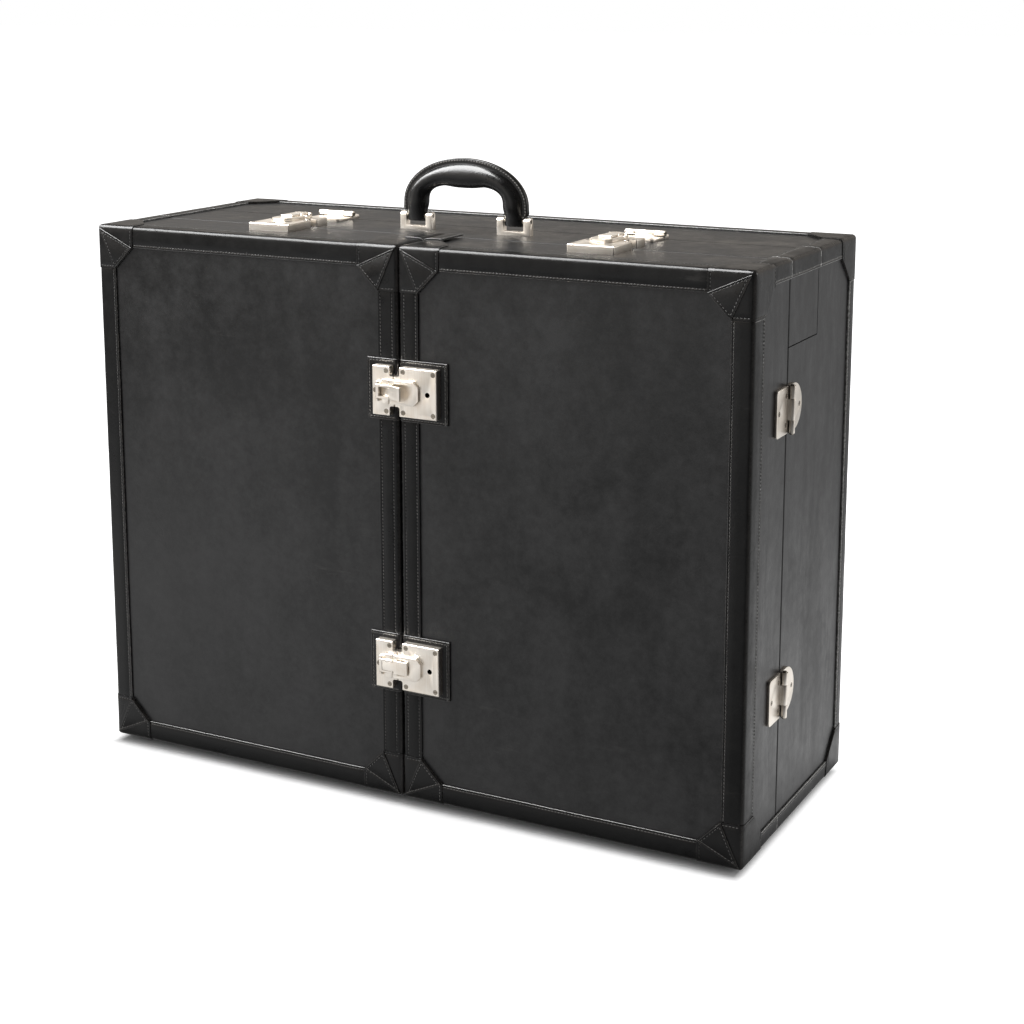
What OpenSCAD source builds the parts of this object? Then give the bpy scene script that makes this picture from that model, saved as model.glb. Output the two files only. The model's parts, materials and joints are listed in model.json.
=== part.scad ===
/* [Case] */
// Width over the leather binding
case_w = 726; // [640:1:820]
// Depth from the front of the doors to the back
case_d = 287; // [275:1:340]
// Height without the feet
case_h = 560; // [520:1:640]
// Depth of each front door
door_d = 95; // [90:1:105]
// Depth of the lid behind the doors
lid_d = 82; // [78:1:92]
// Height of the lid's cheeks
cheek_h = 84; // [60:1:95]
// Thickness of the leather covered boards
board_t = 9; // [8:0.5:11]
// Thickness of the lining
lining_t = 1.5; // [1:0.5:2.5]
// Gap between the doors, and between the doors and the body
part_gap = 0.6; // [0.6:0.1:1]
// Gap round the closed lid
lid_gap = 0.6; // [0.4:0.1:1]
// Radius of the leather turned over a parting edge
part_r = 2; // [1:0.5:3]
// Height of the feet below the binding
foot_h = 6; // [4:0.5:10]
// Radius of a foot
foot_r = 9; // [7:0.5:12]
// Distance of a foot from the side of the case
foot_in = 63; // [56:1:90]
// Distance of a foot from the parting plane and from the back
foot_away = 35; // [28:1:60]

/* [Binding and corner caps] */
// Thickness of the binding and the caps
strip_t = 2; // [1.6:0.1:2.4]
// Radius of the leather over an outer edge
edge_r = 4; // [3:0.5:5]
// Width of the binding on the front and the back
front_leg = 22; // [18:0.5:26]
// Width of the front binding where it turns onto the side
side_front_leg = 27; // [20:0.5:30]
// Width of the upper binding on the sides
side_top_leg = 19; // [15:0.5:24]
// Width of the lower binding on the sides
side_bottom_leg = 18; // [15:0.5:24]
// Width of the rear binding on the sides
side_rear_leg = 18; // [15:0.5:24]
// Width of the binding on the top, the bottom and in the gap between the doors
top_leg = 20; // [16:0.5:24]
// Length of a corner cap along the height and the width
cap_len = 45; // [38:1:52]
// Length of a corner cap along the depth
cap_depth = 50; // [40:1:56]
// Thickness of the triangle sewn onto a front cap
overlay_t = 1.5; // [1:0.1:2]

/* [Locks and top latches] */
// Distance of the front locks from the top and from the bottom
lock_in = 141; // [110:1:170]
// Distance of the top latches and top hinges from the middle
latch_x = 181; // [150:1:230]
// Height of a leather patch under the front locks
patch_h = 61; // [54:1:70]
// Reach of the patch on the left door
patch_left = 35; // [30:0.5:45]
// Reach of the patch on the right door
patch_right = 54.7; // [50:0.1:65]
// Thickness of the lock plates
plate_t = 8; // [7:0.5:10]
// Radius of the outer edges of the lock plates
plate_r = 1.2; // [0.6:0.1:1.6]
// Reach of the plate that carries the hasp
tee_reach = 25; // [24.5:0.5:30]
// Reach of the plate with the keyhole
key_reach = 46.9; // [44:0.1:54]
// Height of the lock plates
plate_h = 49; // [44:0.5:56]
// Height of the necks of the lock plates
neck_h = 29.3; // [26:0.1:34]
// Reach of the necks from the gap
neck_len = 5.6; // [4:0.1:7]
// Radius of the keyhole
key_r = 2.5; // [1.5:0.1:3]
// Place of the keyhole
key_s = 36.7; // [34:0.1:38]
// Clearance of the hasp over the plates
hasp_gap = 0.3; // [0.3:0.05:0.6]
// Thickness of the hasp
hasp_t = 3; // [2.4:0.1:3.6]
// Height of the hasp
hasp_h = 24; // [20:0.5:26]
// Reach of the hasp over the plate with the keyhole
hasp_reach = 28; // [25:0.5:31]
// Bevel of the hasp's corners
hasp_bevel = 5.5; // [3:0.5:7]
// Width of the bar on the hasp
bar_w = 14; // [12:0.5:16]
// Place of the hasp's hinge pin
hasp_pin_s = 16.8; // [16:0.1:18]
// Place of the lever's pivot
lever_s = 4; // [3:0.1:5]
// Reach of the lever's tab
tab_reach = 14; // [11:0.5:16]
// Length of the lever's tail
tail_len = 10.5; // [8:0.1:11]
// Thickness of the lever
lever_t = 1.7; // [1.4:0.1:2]
// How far the lever of the upper front lock is lifted
lever_lift = 20; // [0:1:24]

/* [Hinges] */
// Height of a side hinge
side_hinge_h = 45; // [38:0.5:54]
// Reach of a side hinge on the door
side_leaf_front = 33; // [28:0.5:36]
// Reach of a side hinge on the body
side_leaf_rear = 35; // [32:0.5:40]
// Width of a top hinge
top_hinge_w = 42; // [36:0.5:50]
// Reach of a top hinge on the lid
top_leaf_front = 30; // [28:0.5:34]
// Reach of a top hinge on the body
top_leaf_rear = 26; // [24:0.5:30]
// Thickness of a hinge leaf
leaf_t = 2.5; // [2:0.1:3]
// Radius of a hinge barrel
barrel_r = 3; // [2.6:0.1:3.4]
// Length of the middle knuckle
knuckle_c = 20; // [14:0.5:24]
// Radius of a hinge pin
hinge_pin_r = 1.5; // [1.2:0.1:1.8]

/* [Handle] */
// Distance between the middles of the two brackets
bracket_span = 112.5; // [104:0.5:124]
// Width of a bracket
bracket_w = 37; // [34:0.5:42]
// Depth of a bracket
bracket_d = 8; // [7:0.5:10]
// Height of a bracket
bracket_h = 18; // [16:0.5:20]
// Thickness of a bracket's ear
ear_t = 7; // [5.5:0.5:8]
// Thickness of a bracket's base
bracket_base = 4; // [3:0.5:5]
// Radius of a handle pin
handle_pin_r = 1.8; // [1.4:0.1:2.2]
// Height of the handle above the case
handle_h = 73; // [66:0.5:84]
// Height of the underside of the grip above the case
grip_under = 45.2; // [40:0.1:50]
// Swell of the grip's underside in the middle
grip_swell = 2.6; // [0:0.1:4]
// Half width of the handle outside
handle_out = 71; // [66:0.5:80]
// Half width of the handle inside
handle_in = 43.5; // [38:0.5:46]
// Half thickness of the grip front to back
grip_half = 11.5; // [9:0.5:13]
// Height of the sewn ridge along the outside of the handle
ridge_h = 4.5; // [2:0.1:5.5]
// Width of the sewn ridge
ridge_w = 6; // [5:0.1:9]

/* [Hidden] */
$fn = 48;
over = 1;
fit = 0.05;
gap = 0.3;

// Outer planes of the boards, which lie under the binding
board_x = case_w / 2 - strip_t;
board_front = strip_t;
board_back = case_d - strip_t;
board_low = strip_t;
board_high = case_h - strip_t;
in_x = board_x - board_t;
in_back = board_back - board_t;
in_low = board_low + board_t;
in_high = board_high - board_t;

// Doors and lid
door_end = door_d - part_gap / 2;
body_start = door_d + part_gap / 2;
door_edge = part_gap / 2;
door_board = door_edge + strip_t;
lid_back = door_d + lid_d;
cheek_low = case_h - cheek_h;

// Lock, in its own axes: s away from the gap, w along the plate, out from the case
lock_z = [lock_in, case_h - lock_in];
hasp_low = plate_t + hasp_gap;
hasp_high = hasp_low + hasp_t;
bar_round = 2.5;
hasp_axis = hasp_low + bar_round;
bar_high = hasp_low + 2 * bar_round;
lever_round = 2;
lever_axis = bar_high - lever_round;
lever_hub = 1.8;
pin_r = 0.9;
cheek_w = 2.4;
slot_h = bar_w - 2 * cheek_w;
lever_w = slot_h - 2 * gap;
slot_left = lever_s + tail_len + 0.5;
slot_right = lever_s - lever_hub - gap;
tab_start = lever_s - lever_round - 0.4;
tab_r = 0.6;
ear_gap = gap;
lock_ear_t = 2.3;
lock_ear_r = 2.3;
well_depth = 3;
well_w = slot_h + 1;
dish_r = 8.5;
dish_end = tab_reach + 1.5;
dish_depth = 0.8;

// Screws: head, shank and places
head_r = 2.5;
head_h = 1.8;
shank_r = 1.3;
drive_w = 0.6;
drive_depth = 0.7;
lock_screw = plate_t + board_t - 2;
leaf_screw = leaf_t + board_t - 2;
base_screw = bracket_base + board_t - 2;
screw_w = plate_h / 2 - 4.5;
tee_screws = [[-neck_len - 3.6, screw_w], [-neck_len - 3.6, -screw_w], [3.4 - tee_reach, 0]];
key_screws = [
    [neck_len + 4, screw_w], [neck_len + 4, -screw_w],
    [key_reach - 4, screw_w], [key_reach - 4, -screw_w]];

// Hinge barrels
barrel_z = leaf_t + barrel_r - 0.1;
leaf_near = 8;
leaf_far = 8.5;

// Handle
handle_y = door_d + lid_d / 2;
handle_pin_z = board_high + bracket_h - bracket_d / 2;
leg_gap = bracket_w - 2 * ear_t;
leg_w = leg_gap - 4 * gap;
leg_low = handle_pin_z - 5.2;
leg_half = 5.5;
leg_top = case_h + 27;
bush_r = 3;
bow_out = 1;
bow_in = 0.65;
swell_start = 64;
sides = 10;
bow_steps = 9;
ridge_start = 2;

// The case stands with its middle over the origin and its feet on the ground
lift_out = lever_axis + (tab_reach + lever_s - tab_r) * sin(lever_lift)
    + (bar_high - tab_r - lever_axis) * cos(lever_lift) + tab_r;
reach = max(lift_out, bar_high);
mid_y = (case_d - reach) / 2;

// Straight solids from a flat outline along each axis
module along_x(x0, x1) {
    translate([x0, 0, 0]) rotate([90, 0, 90]) linear_extrude(height = x1 - x0) children();
}

module along_y(y0, y1) {
    translate([0, y1, 0]) rotate([90, 0, 0]) linear_extrude(height = y1 - y0) children();
}

module along_z(z0, z1) {
    translate([0, 0, z0]) linear_extrude(height = z1 - z0) children();
}

module block(from, to) {
    translate(from) cube(to - from);
}

// Rectangle whose corners have their own radii: low left, low right, high right, high left
module plate_outline(x0, y0, x1, y1, radii) {
    corners = [
        [x0, y0, 1, 1, radii[0]], [x1, y0, -1, 1, radii[1]],
        [x1, y1, -1, -1, radii[2]], [x0, y1, 1, -1, radii[3]]];
    difference() {
        translate([x0, y0]) square([x1 - x0, y1 - y0]);
        for (c = corners) {
            if (c[4] > 0) {
                translate([c[0], c[1]]) mirror([c[2] < 0 ? 1 : 0, 0]) mirror([0, c[3] < 0 ? 1 : 0])
                    difference() {
                        translate([-over, -over]) square(c[4] + over);
                        translate([c[4], c[4]]) circle(c[4]);
                    }
            }
        }
    }
}

// Child solids moved to an edge or a corner, with its own three directions
module at(p, u, v, w) {
    multmatrix([
        [u[0], v[0], w[0], p[0]], [u[1], v[1], w[1], p[1]],
        [u[2], v[2], w[2], p[2]], [0, 0, 0, 1]]) children();
}

module home() {
    translate([0, -mid_y, foot_h]) children();
}

module leather() {
    color([0.13, 0.13, 0.14]) home() children();
}

module binding_leather() {
    color([0.2, 0.19, 0.19]) home() children();
}

module suede() {
    color([0.45, 0.36, 0.28]) home() children();
}

module nickel() {
    color([0.82, 0.8, 0.76]) home() children();
}

module steel() {
    color([0.62, 0.62, 0.64]) home() children();
}

module brass() {
    color([0.75, 0.6, 0.3]) home() children();
}

module both_sides() {
    children();
    mirror([1, 0, 0]) children();
}

// Angled binding strip along w, with one leg along u and one along v
module binding(len, leg_u, leg_v) {
    linear_extrude(height = len)
        difference() {
            union() {
                translate([edge_r, 0]) square([leg_u - edge_r, strip_t]);
                translate([0, edge_r]) square([strip_t, leg_v - edge_r]);
                intersection() {
                    square(edge_r);
                    translate([edge_r, edge_r]) circle(edge_r);
                }
            }
            translate([strip_t, strip_t]) square(edge_r);
        }
}

// Outline of one face of a corner cap: two strip ends joined by a slanting cut
module cap_face(len_a, end_a, len_b, end_b) {
    polygon([[0, 0], [len_a, 0], [len_a, end_a], [end_b, len_b], [0, len_b]]);
}

// Corner cap over three faces, with its corner at the origin and its sides along +x, +y, +z
module corner_cap(len, front, flat, side) {
    intersection() {
        union() {
            along_y(0, strip_t) cap_face(len[0], front[0], len[2], front[1]);
            along_z(0, strip_t) cap_face(len[0], flat[0], len[1], flat[1]);
            along_x(0, strip_t) cap_face(len[1], side[0], len[2], side[1]);
        }
        cap_rounding(len + [over, over, over]);
    }
}

// Space under the leather's rounding over the three edges that meet at a corner
module cap_rounding(size) {
    intersection() {
        along_x(0, size[0]) plate_outline(0, 0, size[1], size[2], [edge_r, 0, 0, 0]);
        along_y(0, size[1]) plate_outline(0, 0, size[0], size[2], [edge_r, 0, 0, 0]);
        along_z(0, size[2]) plate_outline(0, 0, size[0], size[1], [edge_r, 0, 0, 0]);
    }
}

// Screws with countersunk, slotted heads; the head's face is at z = 0
module screw(len) {
    difference() {
        union() {
            translate([0, 0, -head_h]) cylinder(h = head_h, r1 = shank_r, r2 = head_r);
            translate([0, 0, -len]) cylinder(h = len - head_h / 2, r = shank_r);
        }
        translate([-head_r, -drive_w / 2, -drive_depth]) cube([2 * head_r, drive_w, drive_depth + over]);
    }
}

module screw_hole(len) {
    translate([0, 0, -head_h]) cylinder(h = head_h, r1 = shank_r + fit, r2 = head_r + fit);
    translate([0, 0, -len - fit]) cylinder(h = len, r = shank_r + fit);
    cylinder(h = over, r = head_r + fit);
}

module at_points(points, z) {
    for (p = points) translate([p[0], p[1], z]) children();
}

// Places of the locks, latches and hinges
module at_front_locks() {
    for (z = lock_z) translate([0, 0, z]) rotate([90, 0, 0]) children();
}

module at_front_lock(i) {
    translate([0, 0, lock_z[i]]) rotate([90, 0, 0]) children();
}

module at_top_latch(side) {
    translate([side * latch_x, door_d, board_high]) rotate([0, 0, -90]) children();
}

module at_side_hinges() {
    for (z = lock_z) translate([board_x, door_d, z]) rotate([90, 0, 90]) children();
}

module at_top_hinge(side) {
    translate([side * latch_x, lid_back, board_high]) rotate([0, 0, 90]) children();
}

// Bodies of the lock plates, with the outer edges rounded over
module plate_body(s0, s1) {
    intersection() {
        linear_extrude(height = plate_t) children();
        along_y(-plate_h, plate_h) plate_outline(s0, -over, s1, plate_t, [0, 0, plate_r, plate_r]);
        along_x(s0 - over, s1 + over)
            plate_outline(-plate_h / 2, -over, plate_h / 2, plate_t, [0, 0, plate_r, plate_r]);
    }
}

module neck_outline(reach_s) {
    fillet = 2.4;
    plate_outline(neck_len, -plate_h / 2, reach_s, plate_h / 2, [plate_r, plate_r, plate_r, plate_r]);
    translate([door_edge, -neck_h / 2]) square([neck_len - door_edge + plate_r, neck_h]);
    for (side = [0, 1]) mirror([0, side])
        difference() {
            translate([neck_len - fillet, neck_h / 2 - over]) square([fillet + over, fillet + over]);
            translate([neck_len - fillet, neck_h / 2 + fillet]) circle(fillet);
        }
}

// Plate on the side where the hasp is hinged, with its two lugs and the well under the lever
module tee_plate() {
    difference() {
        union() {
            plate_body(-tee_reach, -door_edge) mirror([1, 0]) neck_outline(tee_reach);
            for (side = [0, 1]) mirror([0, side, 0]) hasp_lug();
        }
        block([-slot_left - 0.5, -well_w / 2, plate_t - well_depth],
            [-slot_right + gap, well_w / 2, plate_t + over]);
        translate([-hasp_pin_s, 0, hasp_axis]) rotate([90, 0, 0])
            cylinder(h = plate_h, r = pin_r + fit, center = true);
        at_points(tee_screws, plate_t) screw_hole(lock_screw);
    }
}

module hasp_lug() {
    start = bar_w / 2 + ear_gap;
    along_y(start, start + lock_ear_t) {
        translate([-hasp_pin_s, hasp_axis]) circle(lock_ear_r);
        translate([-hasp_pin_s - lock_ear_r, plate_t - over])
            square([2 * lock_ear_r, hasp_axis - plate_t + over]);
    }
}

// Plate that the hasp closes over, with the keyhole
module key_plate() {
    difference() {
        plate_body(door_edge, key_reach) neck_outline(key_reach);
        translate([key_s, 0, plate_t - 6]) cylinder(h = 6 + over, r = key_r);
        at_points(key_screws, plate_t) screw_hole(lock_screw);
    }
}

module hasp_pin() {
    translate([-hasp_pin_s, 0, hasp_axis]) rotate([90, 0, 0])
        cylinder(h = bar_w + 2 * (ear_gap + lock_ear_t), r = pin_r, center = true);
}

// Hasp: bevelled plate, raised bar with a window for the lever's tail, and a finger dish
module hasp() {
    left = hasp_pin_s - bar_round - 2.3;
    difference() {
        union() {
            intersection() {
                along_z(hasp_low, hasp_high) hasp_outline(left);
                along_x(-left - over, hasp_reach + over)
                    plate_outline(-hasp_h / 2, hasp_low - over, hasp_h / 2, hasp_high, [0, 0, tab_r, tab_r]);
            }
            intersection() {
                along_y(-bar_w / 2, bar_w / 2) {
                    translate([-hasp_pin_s, hasp_low]) square([hasp_pin_s - lever_s, 2 * bar_round]);
                    translate([-hasp_pin_s, hasp_axis]) circle(bar_round);
                    translate([-lever_s, lever_axis]) circle(lever_round);
                }
                along_x(-hasp_pin_s - 2 * bar_round, 0)
                    plate_outline(-bar_w / 2, hasp_low - over, bar_w / 2, bar_high, [0, 0, tab_r, tab_r]);
            }
        }
        block([-slot_left, -slot_h / 2, 0], [-slot_right, slot_h / 2, bar_high + over]);
        translate([0, 0, hasp_high - dish_depth]) linear_extrude(height = dish_depth + over) {
            translate([dish_end - dish_r, 0]) circle(dish_r);
            translate([over, -dish_r]) square([dish_end - dish_r - over, 2 * dish_r]);
        }
        translate([-hasp_pin_s, 0, hasp_axis]) rotate([90, 0, 0])
            cylinder(h = 2 * bar_w, r = pin_r + fit, center = true);
        translate([-lever_s, 0, lever_axis]) rotate([90, 0, 0])
            cylinder(h = 2 * bar_w, r = pin_r + fit, center = true);
    }
}

module hasp_outline(left) {
    b = hasp_bevel;
    h = hasp_h / 2;
    polygon([
        [-left, -h], [hasp_reach - b, -h], [hasp_reach, b - h],
        [hasp_reach, h - b], [hasp_reach - b, h], [-left, h]]);
}

// Rocking lever: its tail fills the hasp's window and its tab lifts clear of the plate
module lever(angle) {
    low = bar_high - lever_t;
    translate([-lever_s, 0, lever_axis]) rotate([0, -angle, 0]) translate([lever_s, 0, -lever_axis]) {
        translate([-lever_s, 0, lever_axis]) rotate([90, 0, 0]) {
            cylinder(h = lever_w, r = lever_hub, center = true);
            cylinder(h = bar_w - 2 * fit, r = pin_r, center = true);
        }
        block([-lever_s - tail_len, -lever_w / 2, low + 0.1], [-tab_start + over / 2, lever_w / 2, bar_high]);
        intersection() {
            along_z(low, bar_high) plate_outline(-tab_start, -bar_w / 2, tab_reach, bar_w / 2, [0, 1.5, 1.5, 0]);
            along_y(-bar_w, bar_w)
                plate_outline(-tab_start, low - over, tab_reach, bar_high, [0, 0, tab_r, 0]);
            along_x(-tab_start - over, tab_reach + over)
                plate_outline(-bar_w / 2, low - over, bar_w / 2, bar_high, [0, 0, tab_r, tab_r]);
        }
    }
}

// Hinge, in its own axes: s across the barrel, w along it, out from the board
module knuckle(w0, w1, side) {
    along_y(w0, w1) mirror([side < 0 ? 1 : 0, 0]) {
        translate([0, barrel_z]) circle(barrel_r);
        translate([0, 0]) square([barrel_r, barrel_z]);
        square([barrel_r + 2 * gap, leaf_t]);
    }
}

module hinge_bore(width) {
    translate([0, 0, barrel_z]) rotate([90, 0, 0])
        cylinder(h = width + 2 * over, r = hinge_pin_r + fit, center = true);
}

function leaf_screws(width, reach_s, side) = [
    [side * leaf_near, width / 2 - leaf_far], [side * leaf_near, leaf_far - width / 2],
    [side * (reach_s - 6.5), 0]];

module middle_leaf(width, reach_s) {
    r = 4;
    difference() {
        union() {
            linear_extrude(height = leaf_t)
                plate_outline(-reach_s, -width / 2, -barrel_r - gap, width / 2, [r, 0, 0, r]);
            knuckle(-knuckle_c / 2, knuckle_c / 2, -1);
        }
        hinge_bore(width);
        at_points(leaf_screws(width, reach_s, -1), leaf_t) screw_hole(leaf_screw);
    }
}

module outer_leaf(width, reach_s) {
    bow = reach_s - width / 2;
    difference() {
        union() {
            linear_extrude(height = leaf_t) intersection() {
                union() {
                    translate([bow, 0]) circle(width / 2);
                    translate([0, -width / 2]) square([bow, width]);
                }
                translate([barrel_r + gap, -width]) square([reach_s, 2 * width]);
            }
            for (side = [0, 1]) mirror([0, side, 0])
                knuckle(knuckle_c / 2 + gap, width / 2, 1);
        }
        hinge_bore(width);
        at_points(leaf_screws(width, reach_s, 1), leaf_t) screw_hole(leaf_screw);
    }
}

module hinge_pin(width) {
    cap_r = hinge_pin_r + 0.8;
    cap_h = 1.2;
    translate([0, 0, barrel_z]) rotate([90, 0, 0]) {
        cylinder(h = width + 2 * cap_h, r = hinge_pin_r, center = true);
        for (side = [0, 1]) mirror([0, 0, side])
            translate([0, 0, width / 2]) cylinder(h = cap_h, r1 = cap_r, r2 = cap_r - 0.5);
    }
}

// Body: five boards round the open front, with the lid's place left out of the sides
module lid_space() {
    block([-case_w, 0, cheek_low], [case_w, lid_back + lid_gap / 2, case_h]);
}

module rim_shape() {
    inset = 1.6;
    wide = 3;
    deep = 2;
    difference() {
        block([inset - board_x, body_start, board_low + inset], [board_x - inset, body_start + deep, cheek_low - over]);
        block([inset + wide - board_x, 0, board_low + inset + wide], [board_x - inset - wide, door_d + 2 * deep, case_h]);
    }
}

module body_side() {
    difference() {
        along_z(board_low, board_high)
            plate_outline(in_x, body_start, board_x, board_back, [0, part_r, 0, 0]);
        lid_space();
        rim_shape();
        at_side_hinges() at_points(leaf_screws(side_hinge_h, side_leaf_rear, 1), leaf_t) screw_hole(leaf_screw);
    }
}

module body_side_left() { leather() mirror([1, 0, 0]) body_side(); }

module body_side_right() { leather() body_side(); }

module body_bottom() {
    leather() difference() {
        along_x(-in_x, in_x) plate_outline(body_start, board_low, in_back, in_low, [part_r, 0, 0, 0]);
        rim_shape();
    }
}

module body_back() { leather() block([-in_x, in_back, board_low], [in_x, board_back, board_high]); }

module body_top_rear() {
    leather() difference() {
        block([-in_x, lid_back + lid_gap / 2, in_high], [in_x, in_back, board_high]);
        for (side = [-1, 1]) at_top_hinge(side)
            at_points(leaf_screws(top_hinge_w, top_leaf_rear, 1), leaf_t) screw_hole(leaf_screw);
    }
}

module body_rim() { brass() rim_shape(); }

module body_lining() {
    suede() difference() {
        block([-in_x, body_start + over, in_low], [in_x, in_back, in_high]);
        block([lining_t - in_x, 0, in_low + lining_t], [in_x - lining_t, in_back - lining_t, in_high - lining_t]);
        lid_space();
    }
}

// Everything in front of or behind the parting plane, with the parting edges rounded over
module body_envelope() {
    r = part_r + 1;
    far = case_d + over;
    intersection() {
        along_z(-over, case_h + over) plate_outline(-case_w / 2, body_start, case_w / 2, far, [r, r, 0, 0]);
        along_x(-case_w, case_w) plate_outline(body_start, 0, far, case_h, [r, 0, 0, r]);
    }
}

module door_envelope() {
    r = part_r + 1;
    intersection() {
        along_z(-over, case_h + over) plate_outline(-case_w / 2, -over, -door_edge, door_end, [0, 0, r, r]);
        along_x(-case_w, case_w) plate_outline(-over, 0, door_end, case_h, [0, r, r, 0]);
    }
}

module body_binding() {
    long_z = case_h - 2 * cap_len;
    long_x = case_w - 2 * cap_len;
    rear_end = case_d - cap_len;
    binding_leather() intersection() {
        union() {
            both_sides() {
                at([-case_w / 2, case_d, cap_len], [0, -1, 0], [1, 0, 0], [0, 0, 1])
                    binding(long_z, side_rear_leg, front_leg);
                at([-case_w / 2, lid_back + lid_gap / 2, case_h], [1, 0, 0], [0, 0, -1], [0, 1, 0])
                    binding(rear_end - lid_back - lid_gap / 2, top_leg, side_top_leg);
                at([-case_w / 2, body_start, 0], [0, 0, 1], [1, 0, 0], [0, 1, 0])
                    binding(rear_end - body_start, side_bottom_leg, top_leg);
            }
            at([cap_len - case_w / 2, case_d, case_h], [0, -1, 0], [0, 0, -1], [1, 0, 0])
                binding(long_x, top_leg, front_leg);
            at([cap_len - case_w / 2, case_d, 0], [0, 0, 1], [0, -1, 0], [1, 0, 0])
                binding(long_x, front_leg, top_leg);
        }
        body_envelope();
    }
}

module body_corner_caps() {
    len = [cap_len, cap_len, cap_len];
    front = [front_leg, front_leg];
    flat = [top_leg, top_leg];
    binding_leather() both_sides() translate([-case_w / 2, case_d, 0]) mirror([0, 1, 0]) {
        corner_cap(len, front, flat, [side_bottom_leg, side_rear_leg]);
        translate([0, 0, case_h]) mirror([0, 0, 1])
            corner_cap(len, front, flat, [side_top_leg, side_rear_leg]);
    }
}

module body_feet() {
    front_y = body_start + foot_away;
    rear_y = case_d - foot_away;
    sole = foot_r - 1.5;
    brass() for (x = [-1, 1], y = [front_y, rear_y])
        translate([x * (case_w / 2 - foot_in), y, -foot_h]) {
            cylinder(h = 1.5, r1 = sole, r2 = foot_r);
            translate([0, 0, 1.5]) cylinder(h = foot_h + strip_t - 1.5, r = foot_r);
        }
}

module body_hinge_leaves() { nickel() both_sides() at_side_hinges() outer_leaf(side_hinge_h, side_leaf_rear); }

module side_hinge_pins() { steel() both_sides() at_side_hinges() hinge_pin(side_hinge_h); }

module body_screws() {
    steel() {
        both_sides() at_side_hinges()
            at_points(leaf_screws(side_hinge_h, side_leaf_rear, 1), leaf_t) screw(leaf_screw);
        for (side = [-1, 1]) at_top_hinge(side)
            at_points(leaf_screws(top_hinge_w, top_leaf_rear, 1), leaf_t) screw(leaf_screw);
    }
}

// Lid: a board with two cheeks, hinged along its rear edge
module lid_envelope(x) {
    along_z(cheek_low + lid_gap, case_h)
        plate_outline(-x, body_start, x, lid_back - lid_gap / 2, [part_r, part_r, 1, 1]);
}

module bracket_screws() {
    for (side = [-1, 1], x = [-6, 6])
        translate([side * bracket_span / 2 + x, handle_y, board_high + bracket_base]) children();
}

module lid_top() {
    leather() difference() {
        intersection() {
            lid_envelope(board_x);
            along_x(-case_w, case_w)
                plate_outline(body_start, in_high, lid_back - lid_gap / 2, board_high, [0, 0, 1, part_r]);
        }
        for (side = [-1, 1]) {
            at_top_latch(side) at_points(tee_screws, plate_t) screw_hole(lock_screw);
            at_top_hinge(side) at_points(leaf_screws(top_hinge_w, top_leaf_front, -1), leaf_t)
                screw_hole(leaf_screw);
        }
        bracket_screws() screw_hole(base_screw);
    }
}

module lid_cheeks() {
    leather() both_sides() intersection() {
        lid_envelope(board_x);
        along_y(0, case_d)
            plate_outline(in_x, cheek_low + lid_gap, board_x, in_high, [0, 1, 0, 0]);
    }
}

module lid_lining() {
    suede() difference() {
        block([-in_x, body_start + over, cheek_low + lid_gap + over], [in_x, lid_back - lid_gap / 2 - over, in_high]);
        block([lining_t - in_x, 0, 0], [in_x - lining_t, case_d, in_high - lining_t]);
    }
}

module lid_binding() {
    binding_leather() intersection() {
        both_sides() at([-case_w / 2, body_start, case_h], [1, 0, 0], [0, 0, -1], [0, 1, 0])
            binding(lid_d - part_gap / 2 - lid_gap / 2, top_leg, side_top_leg);
        body_envelope();
    }
}

module lid_hinge_leaves() {
    nickel() for (side = [-1, 1]) at_top_hinge(side) middle_leaf(top_hinge_w, top_leaf_front);
}

module top_hinge_leaves() {
    nickel() for (side = [-1, 1]) at_top_hinge(side) outer_leaf(top_hinge_w, top_leaf_rear);
}

module top_hinge_pins() { steel() for (side = [-1, 1]) at_top_hinge(side) hinge_pin(top_hinge_w); }

module lid_tee_plates() { nickel() for (side = [-1, 1]) at_top_latch(side) tee_plate(); }

module lid_hasp_pins() { steel() for (side = [-1, 1]) at_top_latch(side) hasp_pin(); }

module lid_screws() {
    steel() {
        for (side = [-1, 1]) {
            at_top_latch(side) at_points(tee_screws, plate_t) screw(lock_screw);
            at_top_hinge(side) at_points(leaf_screws(top_hinge_w, top_leaf_front, -1), leaf_t) screw(leaf_screw);
        }
        bracket_screws() screw(base_screw);
    }
}

// Handle: two forked brackets, the pins, and a leather bow with a sewn ridge outside
module at_brackets() {
    for (side = [-1, 1]) translate([side * bracket_span / 2, handle_y, 0]) children();
}

module handle_brackets() {
    low = board_high;
    r = bracket_d / 2;
    nickel() difference() {
        at_brackets() difference() {
            along_x(-bracket_w / 2, bracket_w / 2) {
                translate([-r, low]) square([bracket_d, bracket_h - r]);
                translate([0, handle_pin_z]) circle(r);
            }
            block([-leg_gap / 2, -bracket_d, low + bracket_base], [leg_gap / 2, bracket_d, low + 2 * bracket_h]);
            translate([0, 0, handle_pin_z]) rotate([0, 90, 0])
                cylinder(h = 2 * bracket_w, r = handle_pin_r + fit, center = true);
        }
        bracket_screws() screw_hole(base_screw);
    }
}

module handle_pins() {
    steel() at_brackets() translate([0, 0, handle_pin_z]) rotate([0, 90, 0])
        cylinder(h = bracket_w, r = handle_pin_r, center = true);
}

module handle_bushings() {
    steel() at_brackets() translate([0, 0, handle_pin_z]) rotate([0, 90, 0]) difference() {
        cylinder(h = leg_w, r = bush_r, center = true);
        cylinder(h = bracket_w, r = handle_pin_r + fit, center = true);
    }
}

function mix(a, b, t) = a + (b - a) * t;
function ease(t) = t * t * (3 - 2 * t);
function power(v, n) = pow(max(v, 0), n);

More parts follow.
